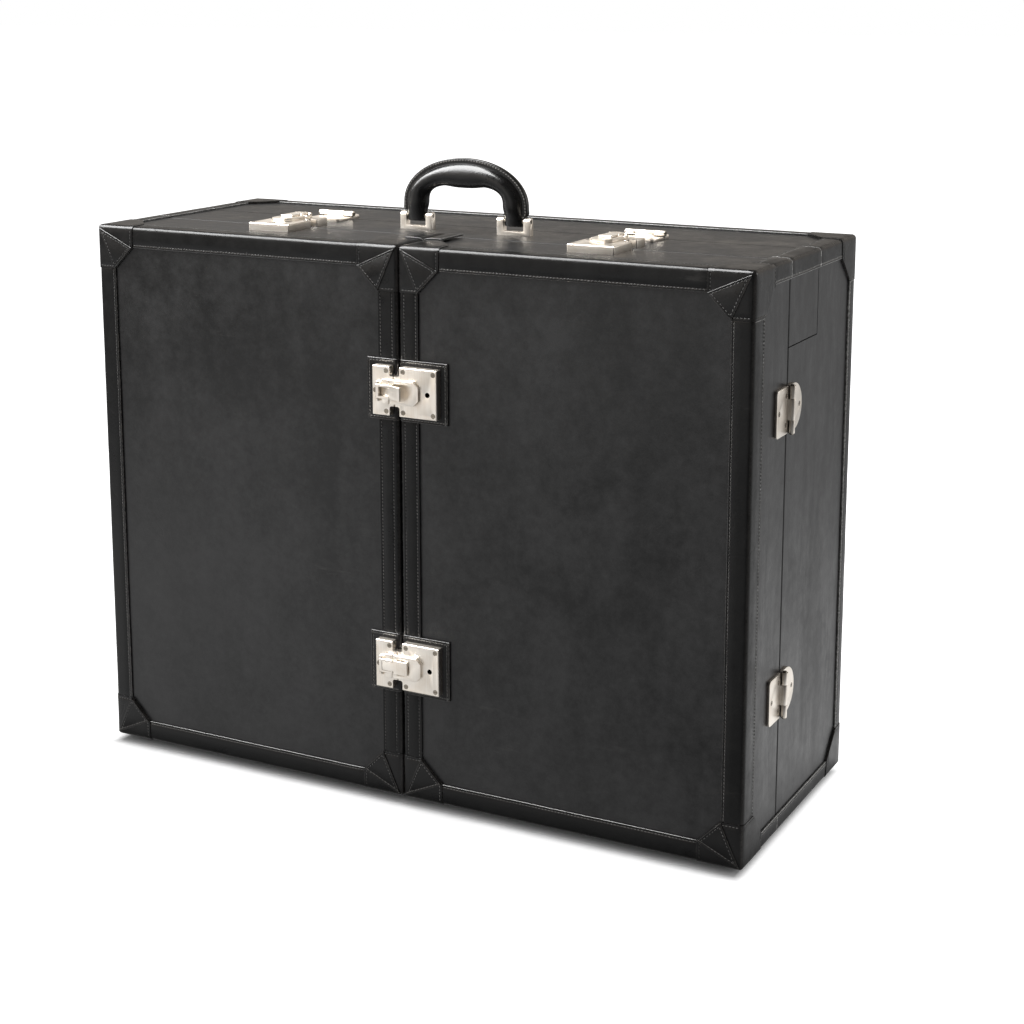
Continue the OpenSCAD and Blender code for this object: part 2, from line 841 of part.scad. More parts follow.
// A ring of the bow: outer x and z, inner x and z, and half its thickness
function leg_ring(z) =
    let (t = ease(max(0, (z - handle_pin_z - 4) / (leg_top - handle_pin_z - 4))),
        u = (z - leg_low) / (leg_top - leg_low))
    [mix((bracket_span + leg_w) / 2, handle_out - ridge_h, t), z,
        mix((bracket_span - leg_w) / 2, handle_in, t), z, mix(leg_half, grip_half - 1.5, ease(u))];
function bow_ring(a) =
    let (rise = case_h + handle_h - ridge_h - leg_top, under = case_h + grip_under - leg_top)
    [(handle_out - ridge_h) * power(cos(a), bow_out), leg_top + rise * power(sin(a), bow_out),
        handle_in * power(cos(a), bow_in),
        leg_top + under * power(sin(a), bow_in)
            - grip_swell * ease(max(0, (a - swell_start) / (90 - swell_start))),
        mix(grip_half - 1.5, grip_half, sin(a))];
leg_heights = [leg_low, handle_pin_z, handle_pin_z + 4, mix(handle_pin_z + 4, leg_top, 0.4),
    mix(handle_pin_z + 4, leg_top, 0.7)];
half_bow = concat(
    [for (z = leg_heights) leg_ring(z)],
    [for (i = [0:bow_steps]) bow_ring(90 * i / bow_steps)]);
half_count = len(half_bow);
bow = concat(
    half_bow,
    [for (i = [half_count - 2:-1:0]) let (r = half_bow[i]) [-r[0], r[1], -r[2], r[3], r[4]]]);

// Section of the bow at a ring: an oval with the sewn ridge on its outer side
function ridge_rise(i) = ridge_h * ease(min(1, max(0, min(i, len(bow) - 1 - i) - ridge_start) / 2));
function ring_points(i) =
    let (r = bow[i], out = [r[0], r[1]], in = [r[2], r[3]],
        mid = (out + in) / 2, half = norm(out - in) / 2, dir = (out - in) / norm(out - in),
        start = asin(min(0.9, ridge_w / 2 / r[4])), crest = half + ridge_rise(i))
    concat(
        [for (side = [-1, 1]) [mid[0] + dir[0] * crest, side * ridge_w / 2 * 0.8, mid[1] + dir[1] * crest]],
        [for (k = [0:2 * sides]) let (a = start + (360 - 2 * start) * k / (2 * sides), c = cos(a) * half)
            [mid[0] + dir[0] * c, r[4] * sin(a), mid[1] + dir[1] * c]]);
ring_size = 2 * sides + 3;

module bow_solid() {
    points = [for (i = [0:len(bow) - 1]) each ring_points(i)];
    walls = [for (i = [0:len(bow) - 2], k = [0:ring_size - 1])
        let (a = i * ring_size + k, b = i * ring_size + (k + 1) % ring_size)
        each [[a, b, b + ring_size], [a, b + ring_size, a + ring_size]]];
    first = [for (k = [ring_size - 1:-1:0]) k];
    last = [for (k = [0:ring_size - 1]) (len(bow) - 1) * ring_size + k];
    translate([0, handle_y, 0]) polyhedron(points, concat(walls, [first, last]));
}

module handle_grip() {
    leather() difference() {
        bow_solid();
        at_brackets() translate([0, 0, handle_pin_z]) rotate([0, 90, 0])
            cylinder(h = bracket_w, r = bush_r, center = true);
    }
}

// Doors: the left one is drawn and the right one is its mirror image, but for the lock plates
module door_front_board(pierce) {
    difference() {
        block([-board_x, board_front, board_low], [-door_board, board_front + board_t, board_high]);
        at_front_locks() mirror([pierce, 0, 0])
            at_points(pierce == 0 ? tee_screws : key_screws, plate_t) screw_hole(lock_screw);
    }
}

module door_frame_ring() {
    difference() {
        intersection() {
            along_z(board_low, board_high) plate_outline(
                -board_x, board_front + board_t, -door_board, door_end, [0, 0, part_r, part_r]);
            along_x(-board_x, -door_board) plate_outline(
                board_front + board_t, board_low, door_end, board_high, [0, part_r, part_r, 0]);
        }
        block([-in_x, 0, in_low], [-door_board - board_t, door_d, in_high]);
        mirror([1, 0, 0]) at_side_hinges()
            at_points(leaf_screws(side_hinge_h, side_leaf_front, -1), leaf_t) screw_hole(leaf_screw);
        at_top_latch(-1) at_points(key_screws, plate_t) screw_hole(lock_screw);
    }
}

module door_lining() {
    front = board_front + board_t;
    difference() {
        block([-in_x, front, in_low], [-door_board - board_t, door_end - over, in_high]);
        block([lining_t - in_x, front + lining_t, in_low + lining_t],
            [-door_board - board_t - lining_t, door_d, in_high - lining_t]);
    }
}

module door_binding() {
    lengths = [
        [cap_len, lock_z[0] - patch_h / 2], [lock_z[0] + patch_h / 2, lock_z[1] - patch_h / 2],
        [lock_z[1] + patch_h / 2, case_h - cap_len]];
    left = -case_w / 2;
    wide = case_w / 2 - door_edge - 2 * cap_len;
    deep = door_end - cap_depth;
    intersection() {
        union() {
            at([left, 0, cap_len], [1, 0, 0], [0, 1, 0], [0, 0, 1])
                binding(case_h - 2 * cap_len, front_leg, side_front_leg);
            for (part = lengths) at([-door_edge, 0, part[0]], [0, 1, 0], [-1, 0, 0], [0, 0, 1])
                binding(part[1] - part[0], top_leg, front_leg);
            at([left + cap_len, 0, case_h], [0, 0, -1], [0, 1, 0], [1, 0, 0]) binding(wide, front_leg, top_leg);
            at([left + cap_len, 0, 0], [0, 1, 0], [0, 0, 1], [1, 0, 0]) binding(wide, top_leg, front_leg);
            at([left, cap_depth, case_h], [1, 0, 0], [0, 0, -1], [0, 1, 0]) binding(deep, top_leg, side_top_leg);
            at([left, cap_depth, 0], [0, 0, 1], [1, 0, 0], [0, 1, 0]) binding(deep, side_bottom_leg, top_leg);
            at([-door_edge, cap_depth, case_h], [0, 0, -1], [-1, 0, 0], [0, 1, 0]) binding(deep, top_leg, top_leg);
            at([-door_edge, cap_depth, 0], [-1, 0, 0], [0, 0, 1], [0, 1, 0]) binding(deep, top_leg, top_leg);
        }
        door_envelope();
    }
}

// The four corners of a door's front, as children placed with their sides along +x, +y, +z
module at_outer_corners() {
    translate([-case_w / 2, 0, 0]) children(0);
    translate([-case_w / 2, 0, case_h]) mirror([0, 0, 1]) children(1);
}

module at_inner_corners() {
    translate([-door_edge, 0, 0]) mirror([1, 0, 0]) children();
    translate([-door_edge, 0, case_h]) mirror([1, 0, 0]) mirror([0, 0, 1]) children();
}

module door_caps() {
    len = [cap_len, cap_depth, cap_len];
    front = [front_leg, front_leg];
    flat = [top_leg, top_leg];
    at_outer_corners() {
        corner_cap(len, front, flat, [side_bottom_leg, side_front_leg]);
        corner_cap(len, front, flat, [side_top_leg, side_front_leg]);
    }
    at_inner_corners() corner_cap(len, front, flat, [top_leg, top_leg]);
}

module overlay() {
    along_y(-overlay_t, 0) polygon([[edge_r, edge_r], [cap_len, front_leg], [front_leg, cap_len]]);
}

module door_overlays() {
    at_outer_corners() {
        overlay();
        overlay();
    }
    at_inner_corners() overlay();
}

module door_patches(reach_s, pierce) {
    difference() {
        for (z = lock_z) at([-door_edge, 0, z - patch_h / 2], [0, 1, 0], [-1, 0, 0], [0, 0, 1])
            binding(patch_h, top_leg, reach_s - door_edge);
        at_front_locks() mirror([pierce, 0, 0])
            at_points(pierce == 0 ? tee_screws : key_screws, plate_t) screw_hole(lock_screw);
    }
}

module door_side_leaves() { mirror([1, 0, 0]) at_side_hinges() middle_leaf(side_hinge_h, side_leaf_front); }

module door_screws(pierce) {
    at_front_locks() mirror([pierce, 0, 0])
        at_points(pierce == 0 ? tee_screws : key_screws, plate_t) screw(lock_screw);
    mirror([1, 0, 0]) at_side_hinges()
        at_points(leaf_screws(side_hinge_h, side_leaf_front, -1), leaf_t) screw(leaf_screw);
    at_top_latch(-1) at_points(key_screws, plate_t) screw(lock_screw);
}

module door_left_front() { leather() door_front_board(0); }
module door_left_frame() { leather() door_frame_ring(); }
module door_left_lining() { suede() door_lining(); }
module door_left_binding() { binding_leather() door_binding(); }
module door_left_corner_caps() { binding_leather() door_caps(); }
module door_left_cap_overlays() { binding_leather() door_overlays(); }
module door_left_lock_patches() { binding_leather() door_patches(patch_left, 0); }
module door_left_tee_plates() { nickel() at_front_locks() tee_plate(); }
module door_left_top_plate() { nickel() at_top_latch(-1) key_plate(); }
module door_left_hinge_leaves() { nickel() door_side_leaves(); }
module door_left_hasp_pins() { steel() at_front_locks() hasp_pin(); }
module door_left_screws() { steel() door_screws(0); }

module door_right_front() { leather() mirror([1, 0, 0]) door_front_board(1); }
module door_right_frame() { leather() mirror([1, 0, 0]) door_frame_ring(); }
module door_right_lining() { suede() mirror([1, 0, 0]) door_lining(); }
module door_right_binding() { binding_leather() mirror([1, 0, 0]) door_binding(); }
module door_right_corner_caps() { binding_leather() mirror([1, 0, 0]) door_caps(); }
module door_right_cap_overlays() { binding_leather() mirror([1, 0, 0]) door_overlays(); }
module door_right_lock_patches() { binding_leather() mirror([1, 0, 0]) door_patches(patch_right, 1); }
module door_right_key_plates() { nickel() at_front_locks() key_plate(); }
module door_right_top_plate() { nickel() at_top_latch(1) key_plate(); }
module door_right_hinge_leaves() { nickel() mirror([1, 0, 0]) door_side_leaves(); }
module door_right_screws() { steel() mirror([1, 0, 0]) door_screws(1); }

// Hasps and levers of the two front locks and the two top latches
module hasp_upper() { nickel() at_front_lock(1) hasp(); }
module hasp_lower() { nickel() at_front_lock(0) hasp(); }
module hasp_top_left() { nickel() at_top_latch(-1) hasp(); }
module hasp_top_right() { nickel() at_top_latch(1) hasp(); }
module lever_upper() { nickel() at_front_lock(1) lever(lever_lift); }
module lever_lower() { nickel() at_front_lock(0) lever(0); }
module lever_top_left() { nickel() at_top_latch(-1) lever(0); }
module lever_top_right() { nickel() at_top_latch(1) lever(0); }

body_back();
body_bottom();
body_side_left();
body_side_right();
body_top_rear();
body_lining();
body_binding();
body_corner_caps();
body_rim();
body_feet();
body_hinge_leaves();
side_hinge_pins();
body_screws();
lid_top();
lid_cheeks();
lid_lining();
lid_binding();
lid_hinge_leaves();
top_hinge_leaves();
top_hinge_pins();
lid_tee_plates();
lid_hasp_pins();
lid_screws();
handle_brackets();
handle_pins();
handle_grip();
handle_bushings();
door_left_front();
door_left_frame();
door_left_lining();
door_left_binding();
door_left_corner_caps();
door_left_cap_overlays();
door_left_lock_patches();
door_left_tee_plates();
door_left_top_plate();
door_left_hinge_leaves();
door_left_hasp_pins();
door_left_screws();
door_right_front();
door_right_frame();
door_right_lining();
door_right_binding();
door_right_corner_caps();
door_right_cap_overlays();
door_right_lock_patches();
door_right_key_plates();
door_right_top_plate();
door_right_hinge_leaves();
door_right_screws();
hasp_upper();
hasp_lower();
hasp_top_left();
hasp_top_right();
lever_upper();
lever_lower();
lever_top_left();
lever_top_right();
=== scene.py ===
import json
import math

import bmesh
import bpy
from mathutils import Matrix, Vector, noise


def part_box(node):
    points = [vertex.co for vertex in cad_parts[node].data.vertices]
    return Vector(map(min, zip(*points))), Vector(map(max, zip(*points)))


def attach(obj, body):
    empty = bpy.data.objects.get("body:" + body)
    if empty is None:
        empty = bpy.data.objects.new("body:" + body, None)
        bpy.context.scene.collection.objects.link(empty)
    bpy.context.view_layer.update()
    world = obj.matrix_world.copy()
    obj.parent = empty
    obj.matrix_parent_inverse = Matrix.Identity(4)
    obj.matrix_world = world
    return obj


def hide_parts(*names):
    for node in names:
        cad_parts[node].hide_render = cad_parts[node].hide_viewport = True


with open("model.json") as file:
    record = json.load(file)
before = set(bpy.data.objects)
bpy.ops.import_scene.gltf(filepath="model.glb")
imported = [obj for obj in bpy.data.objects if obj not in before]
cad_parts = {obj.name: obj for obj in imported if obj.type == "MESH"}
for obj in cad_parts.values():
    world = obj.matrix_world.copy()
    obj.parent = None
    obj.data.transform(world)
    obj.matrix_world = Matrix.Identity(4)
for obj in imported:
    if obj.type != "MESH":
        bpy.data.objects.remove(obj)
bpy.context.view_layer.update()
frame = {"nodes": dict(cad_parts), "record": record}

MM = 0.001

# Sizes of the case in millimetres, the same as in the part's source
CASE_W, CASE_D, CASE_H = 726, 287, 560
DOOR_D, LID_D = 95, 82
STRIP_T, EDGE_R, GAP = 2, 4, 0.6
FRONT_LEG, TOP_LEG = 22, 20
SIDE_FRONT, SIDE_TOP, SIDE_LOW, SIDE_REAR = 27, 19, 18, 18
CAP_LEN, CAP_DEPTH, OVERLAY_T = 45, 50, 1.5
LOCK_IN, LATCH_X = 141, 181
PATCH_H, PATCH_LEFT, PATCH_RIGHT = 61, 35, 54.7
DOOR_EDGE = GAP / 2
DOOR_END, BODY_START = DOOR_D - GAP / 2, DOOR_D + GAP / 2
LID_BACK = DOOR_D + LID_D
LOCK_Z = (LOCK_IN, CASE_H - LOCK_IN)

# Leather: how far caps and patches stand over the strips, the clearance under it, how softly it
# turns over an edge, how often it is cut to bend, and how its cut edges are eased
CAP_PROUD, PATCH_PROUD, UNDER = 0.6, 0.5, 0.05
FOLD_REACH, FOLD_FALL = 15, 0.7
FOLD_CUTS = (EDGE_R + 2, EDGE_R + 5, EDGE_R + 8)
STRIP_CUT, PATCH_CUT, CAP_CUT = 9, 10, 4
EDGE_EASE, TRIANGLE_EASE = 0.7, 0.65

# Sewing: the stitches' distance, length, half width, slant and flatness, how far in the seams run,
# where their rows stop, and the line that they press into the leather
PITCH, STITCH_LEN, STITCH_R, STITCH_SLANT, STITCH_FLAT = 3.5, 2.3, 0.42, 0.16, 0.8
SEAM_IN, CENTRE_SEAM_IN, TRIANGLE_SEAM_IN = 2.6, 6.5, 2.3
ROW_INSET, ROW_END = 1.5, 1
PRESS_DEPTH, PRESS_HALF = 0.4, 0.8

# Triangle on a front cap: how far its tip, its two ends and their legs stay in, and how deep it is
# let into the cap
TIP_IN, END_IN, LEG_IN, LET_IN = 2.8, 0.3, 0.4, 0.25

# Handle: the bow's outer and inner line, its brackets, and the welt sewn along its outside
HANDLE_H, HANDLE_OUT, HANDLE_IN = 73, 71, 43.5
GRIP_UNDER, GRIP_SWELL, GRIP_HALF, BOW_END_HALF = 45.2, 2.6, 11.5, 10
BRACKET_SPAN, LEG_W, LEG_HALF, PIN_Z = 112.5, 21.8, 5.5, 572
LEG_LOW, SPREAD_FROM, LEG_TOP = PIN_Z - 5.2, PIN_Z + 4, CASE_H + 27
LEG_RINGS, BOW_RINGS, SWELL_ANGLE, INNER_CURVE = 9, 26, 64, 0.65
WELT_H, WELT_W, WELT_ROOT, WELT_SEAM, WELT_EASE = 4.5, 6, 4, 2.0, 0.9
WELT_PITCH, WELT_STITCH_R, WELT_RINGS = 3.2, 0.7, 3
WELT_STITCH_LEN = WELT_PITCH * 0.72
HANDLE_Y = DOOR_D + LID_D / 2

# Metal and linings: how much their edges are rounded, and the keyholes' distance from the parting,
# radius, and the slack in finding their faces
METAL_EDGE, LINING_EDGE = 0.25, 0.7
KEY_S, KEY_R, KEY_SLACK = 36.7, 2.5, 0.05

# The case's own axes: x from the middle, y back from the front, z up from the binding
rear_low, rear_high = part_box("body_binding")
CASE_IN_ROW = Matrix.Translation((0, rear_high.y - CASE_D * MM, rear_low.z)) @ Matrix.Scale(MM, 4)

X, Y, Z = Vector((1, 0, 0)), Vector((0, 1, 0)), Vector((0, 0, 1))
BODY_OF = {node: body for body, nodes in frame["record"]["behaviour"]["bodies"].items()
           for node in nodes}

# Blender seeds its vector noise by the clock, unless it is told a seed
noise.seed_set(1)


# Shapes

def sheet_box(low, high, outward):
    """The faces of a box that look along the outward directions."""
    low, high = Vector(low), Vector(high)
    shape = bmesh.new()
    middle = Matrix.Translation((low + high) / 2) @ Matrix.Diagonal((*(high - low), 1))
    bmesh.ops.create_cube(shape, size=1, matrix=middle)
    shape.normal_update()
    hidden = [f for f in shape.faces if all(f.normal.dot(o) < 0.9 for o in outward)]
    bmesh.ops.delete(shape, geom=hidden, context="FACES")
    return shape


def round_folds(shape, radius, segments=5):
    folds = [e for e in shape.edges if len(e.link_faces) == 2]
    bmesh.ops.bevel(shape, geom=folds, offset=radius, offset_type="OFFSET", segments=segments,
                    profile=0.5, affect="EDGES", material=-1)


def cut(shape, place, across, faces=None, drop=False):
    """Cuts the shape, or only some of its faces, with a plane. With drop, what lies beyond goes.
    Edges and points are kept in order, which a set doesn't do."""
    faces = shape.faces[:] if faces is None else faces
    edges = dict.fromkeys(e for f in faces for e in f.edges)
    verts = dict.fromkeys(v for f in faces for v in f.verts)
    bmesh.ops.bisect_plane(shape, geom=[*faces, *edges, *verts], dist=1e-4, plane_co=place,
                           plane_no=across, clear_outer=drop)


def cut_often(shape, across, start, end, step):
    count = max(1, round((end - start) / step))
    for i in range(1, count):
        cut(shape, across * (start + (end - start) * i / count), across)


def facing(shape, out):
    shape.normal_update()
    return [f for f in shape.faces if f.normal.dot(out) > 0.99]


def press_line(shape, out, across, place, depth=PRESS_DEPTH, half=PRESS_HALF):
    """Presses a shallow line, such as a seam's, into the faces that look along out."""
    for offset in (-half, 0, half):
        cut(shape, across * (place + offset), across, facing(shape, out))
    for vert in {v for f in facing(shape, out) for v in f.verts}:
        if abs(vert.co.dot(across) - place) < 1e-3:
            vert.co -= out * depth


def thicken(shape, thickness):
    bmesh.ops.recalc_face_normals(shape, faces=shape.faces)
    bmesh.ops.solidify(shape, geom=shape.faces[:], thickness=thickness)


def ease_edges(shape, width, segments=3, angle=40, finish=0):
    """Rounds the sharp edges. finish is the place of the rounded faces' material on the piece."""
    shape.normal_update()
    sharp = [e for e in shape.edges
             if len(e.link_faces) == 2 and e.calc_face_angle(0) > math.radians(angle)]
    eased = bmesh.ops.bevel(shape, geom=sharp, offset=width, offset_type="OFFSET",
                            segments=segments, profile=0.5, affect="EDGES", clamp_overlap=True,
                            material=-1)
    for face in eased["faces"]:
        face.material_index = finish


def fall_at(distance):
    """How far a face lies below its plane at a distance from the fold."""
    return FOLD_FALL * max(0.0, 1 - max(0.0, distance) / FOLD_REACH) ** 2


def turn_softly(shape, directions):
    """Leather bends over the boards' edge long before it: the faces fall a little towards each
    fold."""
    for vert in shape.verts:
        near = [max(0.0, vert.co.dot(d)) for d in directions]
        fall = Vector()
        for i, inward in enumerate(directions):
            beside = min(near[:i] + near[i + 1:])
            fall += inward * max(0.0, 1 - near[i] / EDGE_R) * fall_at(beside)
        vert.co += fall


def wander(shape, amount, size, seed):
    """Hand work is never quite straight: moves the points a little, the same way each run."""
    for vert in shape.verts:
        vert.co += noise.noise_vector(vert.co / size + Vector((seed, 0, 0))) * amount


def placed(shape, place, u, v, w):
    """Turns a shape from its own directions u, v and w into the case's axes."""
    turn = Matrix((Vector(u), Vector(v), Vector(w))).transposed().to_4x4()
    bmesh.ops.transform(shape, matrix=Matrix.Translation(place) @ turn, verts=shape.verts)
    if turn.determinant() < 0:
        bmesh.ops.reverse_faces(shape, faces=shape.faces)
    return shape


def join(shapes):
    whole = bmesh.new()
    for shape in shapes:
        mesh = bpy.data.meshes.new("joined")
        shape.to_mesh(mesh)
        shape.free()
        whole.from_mesh(mesh)
        bpy.data.meshes.remove(mesh)
    return whole


def make_piece(name, shapes, materials, body, stands_for=(), smooth_below=40):
    """One object from shapes in case millimetres, riding on a body. A second material is for cut
    edges, and a third one, which paints a highlight line, for those behind the front."""
    whole = join(shapes)
    # Cut edges behind the front take the third material: a painted highlight
    if len(materials) > 2:
        for face in whole.faces:
            if face.material_index == 1 and face.calc_center_median().y > EDGE_R:
                face.material_index = 2
    bmesh.ops.transform(whole, matrix=CASE_IN_ROW, verts=whole.verts)
    mesh = bpy.data.meshes.new(name)
    whole.to_mesh(mesh)
    whole.free()
    for material in materials:
        mesh.materials.append(material)
    mesh.shade_smooth()
    mesh.set_sharp_from_angle(angle=math.radians(smooth_below))
    piece = bpy.data.objects.new(name, mesh)
    bpy.context.scene.collection.objects.link(piece)
    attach(piece, body)
    if stands_for:
        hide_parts(*stands_for)
    return piece


# Materials

def linear(hex_colour):
    """sRGB hex to the linear values that the shader takes."""
    channels = [int(hex_colour[i:i + 2], 16) / 255 for i in (1, 3, 5)]
    return (*[c / 12.92 if c <= 0.04045 else ((c + 0.055) / 1.055) ** 2.4 for c in channels], 1)


def per_mm(size):
    """Scale of a pattern whose features are this many millimetres apart."""
    return 1000 / size


def add(tree, kind, inputs=None, **settings):
    """Adds a node. Inputs 1 and 2 of a map range are where its value starts and ends, and 3 and 4
    what it gives there."""
    made = tree.nodes.new(kind)
    for key, value in settings.items():
        setattr(made, key, value)
    for key, value in (inputs or {}).items():
        if isinstance(value, bpy.types.NodeSocket):
            tree.links.new(value, made.inputs[key])
        else:
            made.inputs[key].default_value = value
    return made


def new_material(name):
    material = bpy.data.materials.new(name)
    material.use_nodes = True
    tree = material.node_tree
    return material, tree, tree.nodes["Principled BSDF"]


def ramp(tree, factor, stops):
    made = add(tree, "ShaderNodeValToRGB", {"Fac": factor})
    elements = made.color_ramp.elements
    while len(elements) < len(stops):
        elements.new(0.5)
    for element, (place, colour) in zip(elements, stops):
        element.position = place
        element.color = linear(colour) if isinstance(colour, str) else (colour, colour, colour, 1)
    return made


def fold_mask(tree, coords):
    """1 where the leather turns over an edge and 0 on the flat faces, and how far a face looks
    sideways."""
    size = add(tree, "ShaderNodeVectorMath", {0: coords.outputs["Normal"]}, operation="ABSOLUTE")
    parts = add(tree, "ShaderNodeSeparateXYZ", {0: size.outputs[0]})
    first = add(tree, "ShaderNodeMath", {0: parts.outputs[0], 1: parts.outputs[1]},
                operation="MAXIMUM")
    most = add(tree, "ShaderNodeMath", {0: first.outputs[0], 1: parts.outputs[2]},
               operation="MAXIMUM")
    fold = add(tree, "ShaderNodeMapRange", {0: most.outputs[0], 1: 0.97, 2: 0.78, 3: 0.0, 4: 1.0})
    sideways = add(tree, "ShaderNodeMapRange", {
        0: parts.outputs[0], 1: 0.6, 2: 0.95, 3: 0.1, 4: 1.0})
    return fold.outputs[0], sideways.outputs[0]


def calf(name, dark, light, bloom_and_highlight, gloss, sheen, wave, crease, fold_polish=-0.1):
    """Box calf, a smooth chrome tanned leather with a fine grain and a wax polish. Broad clouds in
    the dye, a grey film of old wax where it is rubbed, the same pale colour on every fold, partly
    as wax and partly as a painted highlight, soft upright streaks on the sides, faint creases, and
    a shine that comes and goes with them. The pores, in truth some 0.3 mm apart, are drawn 2 mm
    apart so that they show. wave and crease are heights in millimetres, and fold_polish is what a
    fold adds to the roughness."""
    material, tree, shader = new_material(name)
    coords = add(tree, "ShaderNodeTexCoord")
    place = coords.outputs["Object"]
    clouds = add(tree, "ShaderNodeTexNoise", {
        "Vector": place, "Scale": per_mm(95), "Detail": 5.0, "Roughness": 0.62, "Distortion": 0.6})
    haze = add(tree, "ShaderNodeTexNoise", {
        "Vector": place, "Scale": per_mm(13), "Detail": 6.0, "Roughness": 0.8})
    upright = add(tree, "ShaderNodeMapping", {"Vector": place, "Scale": (1.0, 1.0, 0.3)})
    streaks = add(tree, "ShaderNodeTexNoise", {
        "Vector": upright.outputs[0], "Scale": per_mm(48), "Detail": 3.0, "Roughness": 0.42,
        "Distortion": 0.6})
    soft = add(tree, "ShaderNodeMix", {0: 0.45, 2: clouds.outputs[0], 3: streaks.outputs[0]})
    both = add(tree, "ShaderNodeMix", {0: 0.42, 2: soft.outputs[0], 3: haze.outputs[0]})
    dye = ramp(tree, both.outputs[0], [(0.41, dark), (0.6, light)])

    # Rubs: long thin marks, mostly level, where the case was set against things
    long_way = add(tree, "ShaderNodeMapping", {
        "Vector": place, "Scale": (0.22, 0.22, 1.0), "Rotation": (0.12, 0.1, 0.0)})
    rubs = add(tree, "ShaderNodeTexNoise", {
        "Vector": long_way.outputs[0], "Scale": per_mm(16), "Detail": 7.0, "Roughness": 0.68})
    where = add(tree, "ShaderNodeTexNoise", {"Vector": place, "Scale": per_mm(130), "Detail": 1.0})
    rub_line = ramp(tree, rubs.outputs[0], [(0.62, 0.0), (0.76, 1.0)])
    rub_area = ramp(tree, where.outputs[0], [(0.5, 0.0), (0.62, 1.0)])
    rubbed = add(tree, "ShaderNodeMath", {0: rub_line.outputs[0], 1: rub_area.outputs[0]},
                 operation="MULTIPLY")

    # Creases: a loose net of fine lines that shows only here and there
    bent = add(tree, "ShaderNodeTexNoise", {"Vector": place, "Scale": per_mm(20), "Detail": 2.0})
    swayed = add(tree, "ShaderNodeMix", {0: 0.025, 4: place, 5: bent.outputs[1]},
                 data_type="VECTOR")
    net = add(tree, "ShaderNodeTexVoronoi", {"Vector": swayed.outputs[1], "Scale": per_mm(34)},
              feature="DISTANCE_TO_EDGE")
    net_line = ramp(tree, net.outputs[0], [(0.0, 1.0), (0.035, 0.0)])
    net_area = ramp(tree, where.outputs[0], [(0.36, 1.0), (0.44, 0.0)])
    creased = add(tree, "ShaderNodeMath", {0: net_line.outputs[0], 1: net_area.outputs[0]},
                  operation="MULTIPLY")

    # Colour: the dye, paler where it is rubbed, and paler on the folds, partly as wax and partly as
    # a painted highlight
    fold, sideways = fold_mask(tree, coords)
    fold_bloom_and_highlight = add(tree, "ShaderNodeMath", {0: fold, 1: haze.outputs[0]}, operation="MULTIPLY")
    marks = add(tree, "ShaderNodeMath", {0: rubbed.outputs[0], 1: fold_bloom_and_highlight.outputs[0]},
                operation="MAXIMUM")
    faint = add(tree, "ShaderNodeMath", {0: marks.outputs[0], 1: 0.4}, operation="MULTIPLY")
    colour = add(tree, "ShaderNodeMix", {0: faint.outputs[0], 6: dye.outputs[0], 7: linear(bloom_and_highlight)},
                 data_type="RGBA")
    tree.links.new(colour.outputs[2], shader.inputs["Base Color"])

    # Shine: duller where it is pale or rubbed
    shine = add(tree, "ShaderNodeMapRange", {
        0: both.outputs[0], 1: 0.39, 2: 0.62, 3: gloss - 0.07, 4: gloss + 0.15})
    dull = add(tree, "ShaderNodeMath", {0: rubbed.outputs[0], 1: 0.14, 2: shine.outputs[0]},
               operation="MULTIPLY_ADD")
    polished = add(tree, "ShaderNodeMath", {0: fold, 1: fold_polish, 2: dull.outputs[0]},
                   operation="MULTIPLY_ADD")
    tree.links.new(polished.outputs[0], shader.inputs["Roughness"])

    # Surface: broad swells, streaks on the faces that look sideways, creases, and the grain
    swell = add(tree, "ShaderNodeTexNoise", {"Vector": place, "Scale": per_mm(42), "Detail": 2.0})
    swell_bump = add(tree, "ShaderNodeBump", {
        "Height": swell.outputs[0], "Distance": wave * MM, "Strength": 1.0})
    streak_bump = add(tree, "ShaderNodeBump", {
        "Height": streaks.outputs[0], "Distance": 3.2 * wave * MM, "Strength": sideways,
        "Normal": swell_bump.outputs[0]})
    crease_bump = add(tree, "ShaderNodeBump", {
        "Height": creased.outputs[0], "Distance": crease * MM, "Strength": 1.0,
        "Normal": streak_bump.outputs[0]}, invert=True)
    grain = add(tree, "ShaderNodeTexVoronoi", {"Vector": place, "Scale": per_mm(2)}, feature="F1")
    fibre = add(tree, "ShaderNodeTexNoise", {"Vector": place, "Scale": per_mm(2.6), "Detail": 4.0})
    skin = add(tree, "ShaderNodeMix", {0: 0.5, 2: grain.outputs[0], 3: fibre.outputs[0]})
    skin_bump = add(tree, "ShaderNodeBump", {
        "Height": skin.outputs[0], "Distance": 0.14 * MM, "Strength": 0.7,
        "Normal": crease_bump.outputs[0]})
    tree.links.new(skin_bump.outputs[0], shader.inputs["Normal"])
    shader.inputs["IOR"].default_value = 1.5
    shader.inputs["Specular IOR Level"].default_value = sheen
    return material


def waxed_edge(name, dark, light, rough):
    """Cut edge of vegetable tanned leather, dyed black, waxed and rubbed until it shines. Its round
    catches a thin line of light. Where the wax wears thin the grey brown fibre shows, every 3 mm or
    so. Given pale colours, the same material paints that highlight line on the edge's round."""
    material, tree, shader = new_material(name)
    coords = add(tree, "ShaderNodeTexCoord")
    wear_and_glint = add(tree, "ShaderNodeTexNoise", {"Vector": coords.outputs["Object"], "Scale": per_mm(3),
                                           "Detail": 4.0, "Roughness": 0.65})
    colour = ramp(tree, wear_and_glint.outputs[0], [(0.4, dark), (0.66, light)])
    tree.links.new(colour.outputs[0], shader.inputs["Base Color"])
    bump = add(tree, "ShaderNodeBump", {"Height": wear_and_glint.outputs[0], "Distance": 0.08 * MM,
                                       "Strength": 0.6})
    tree.links.new(bump.outputs[0], shader.inputs["Normal"])
    shader.inputs["Roughness"].default_value = rough
    shader.inputs["IOR"].default_value = 1.5
    shader.inputs["Specular IOR Level"].default_value = 0.8
    return material


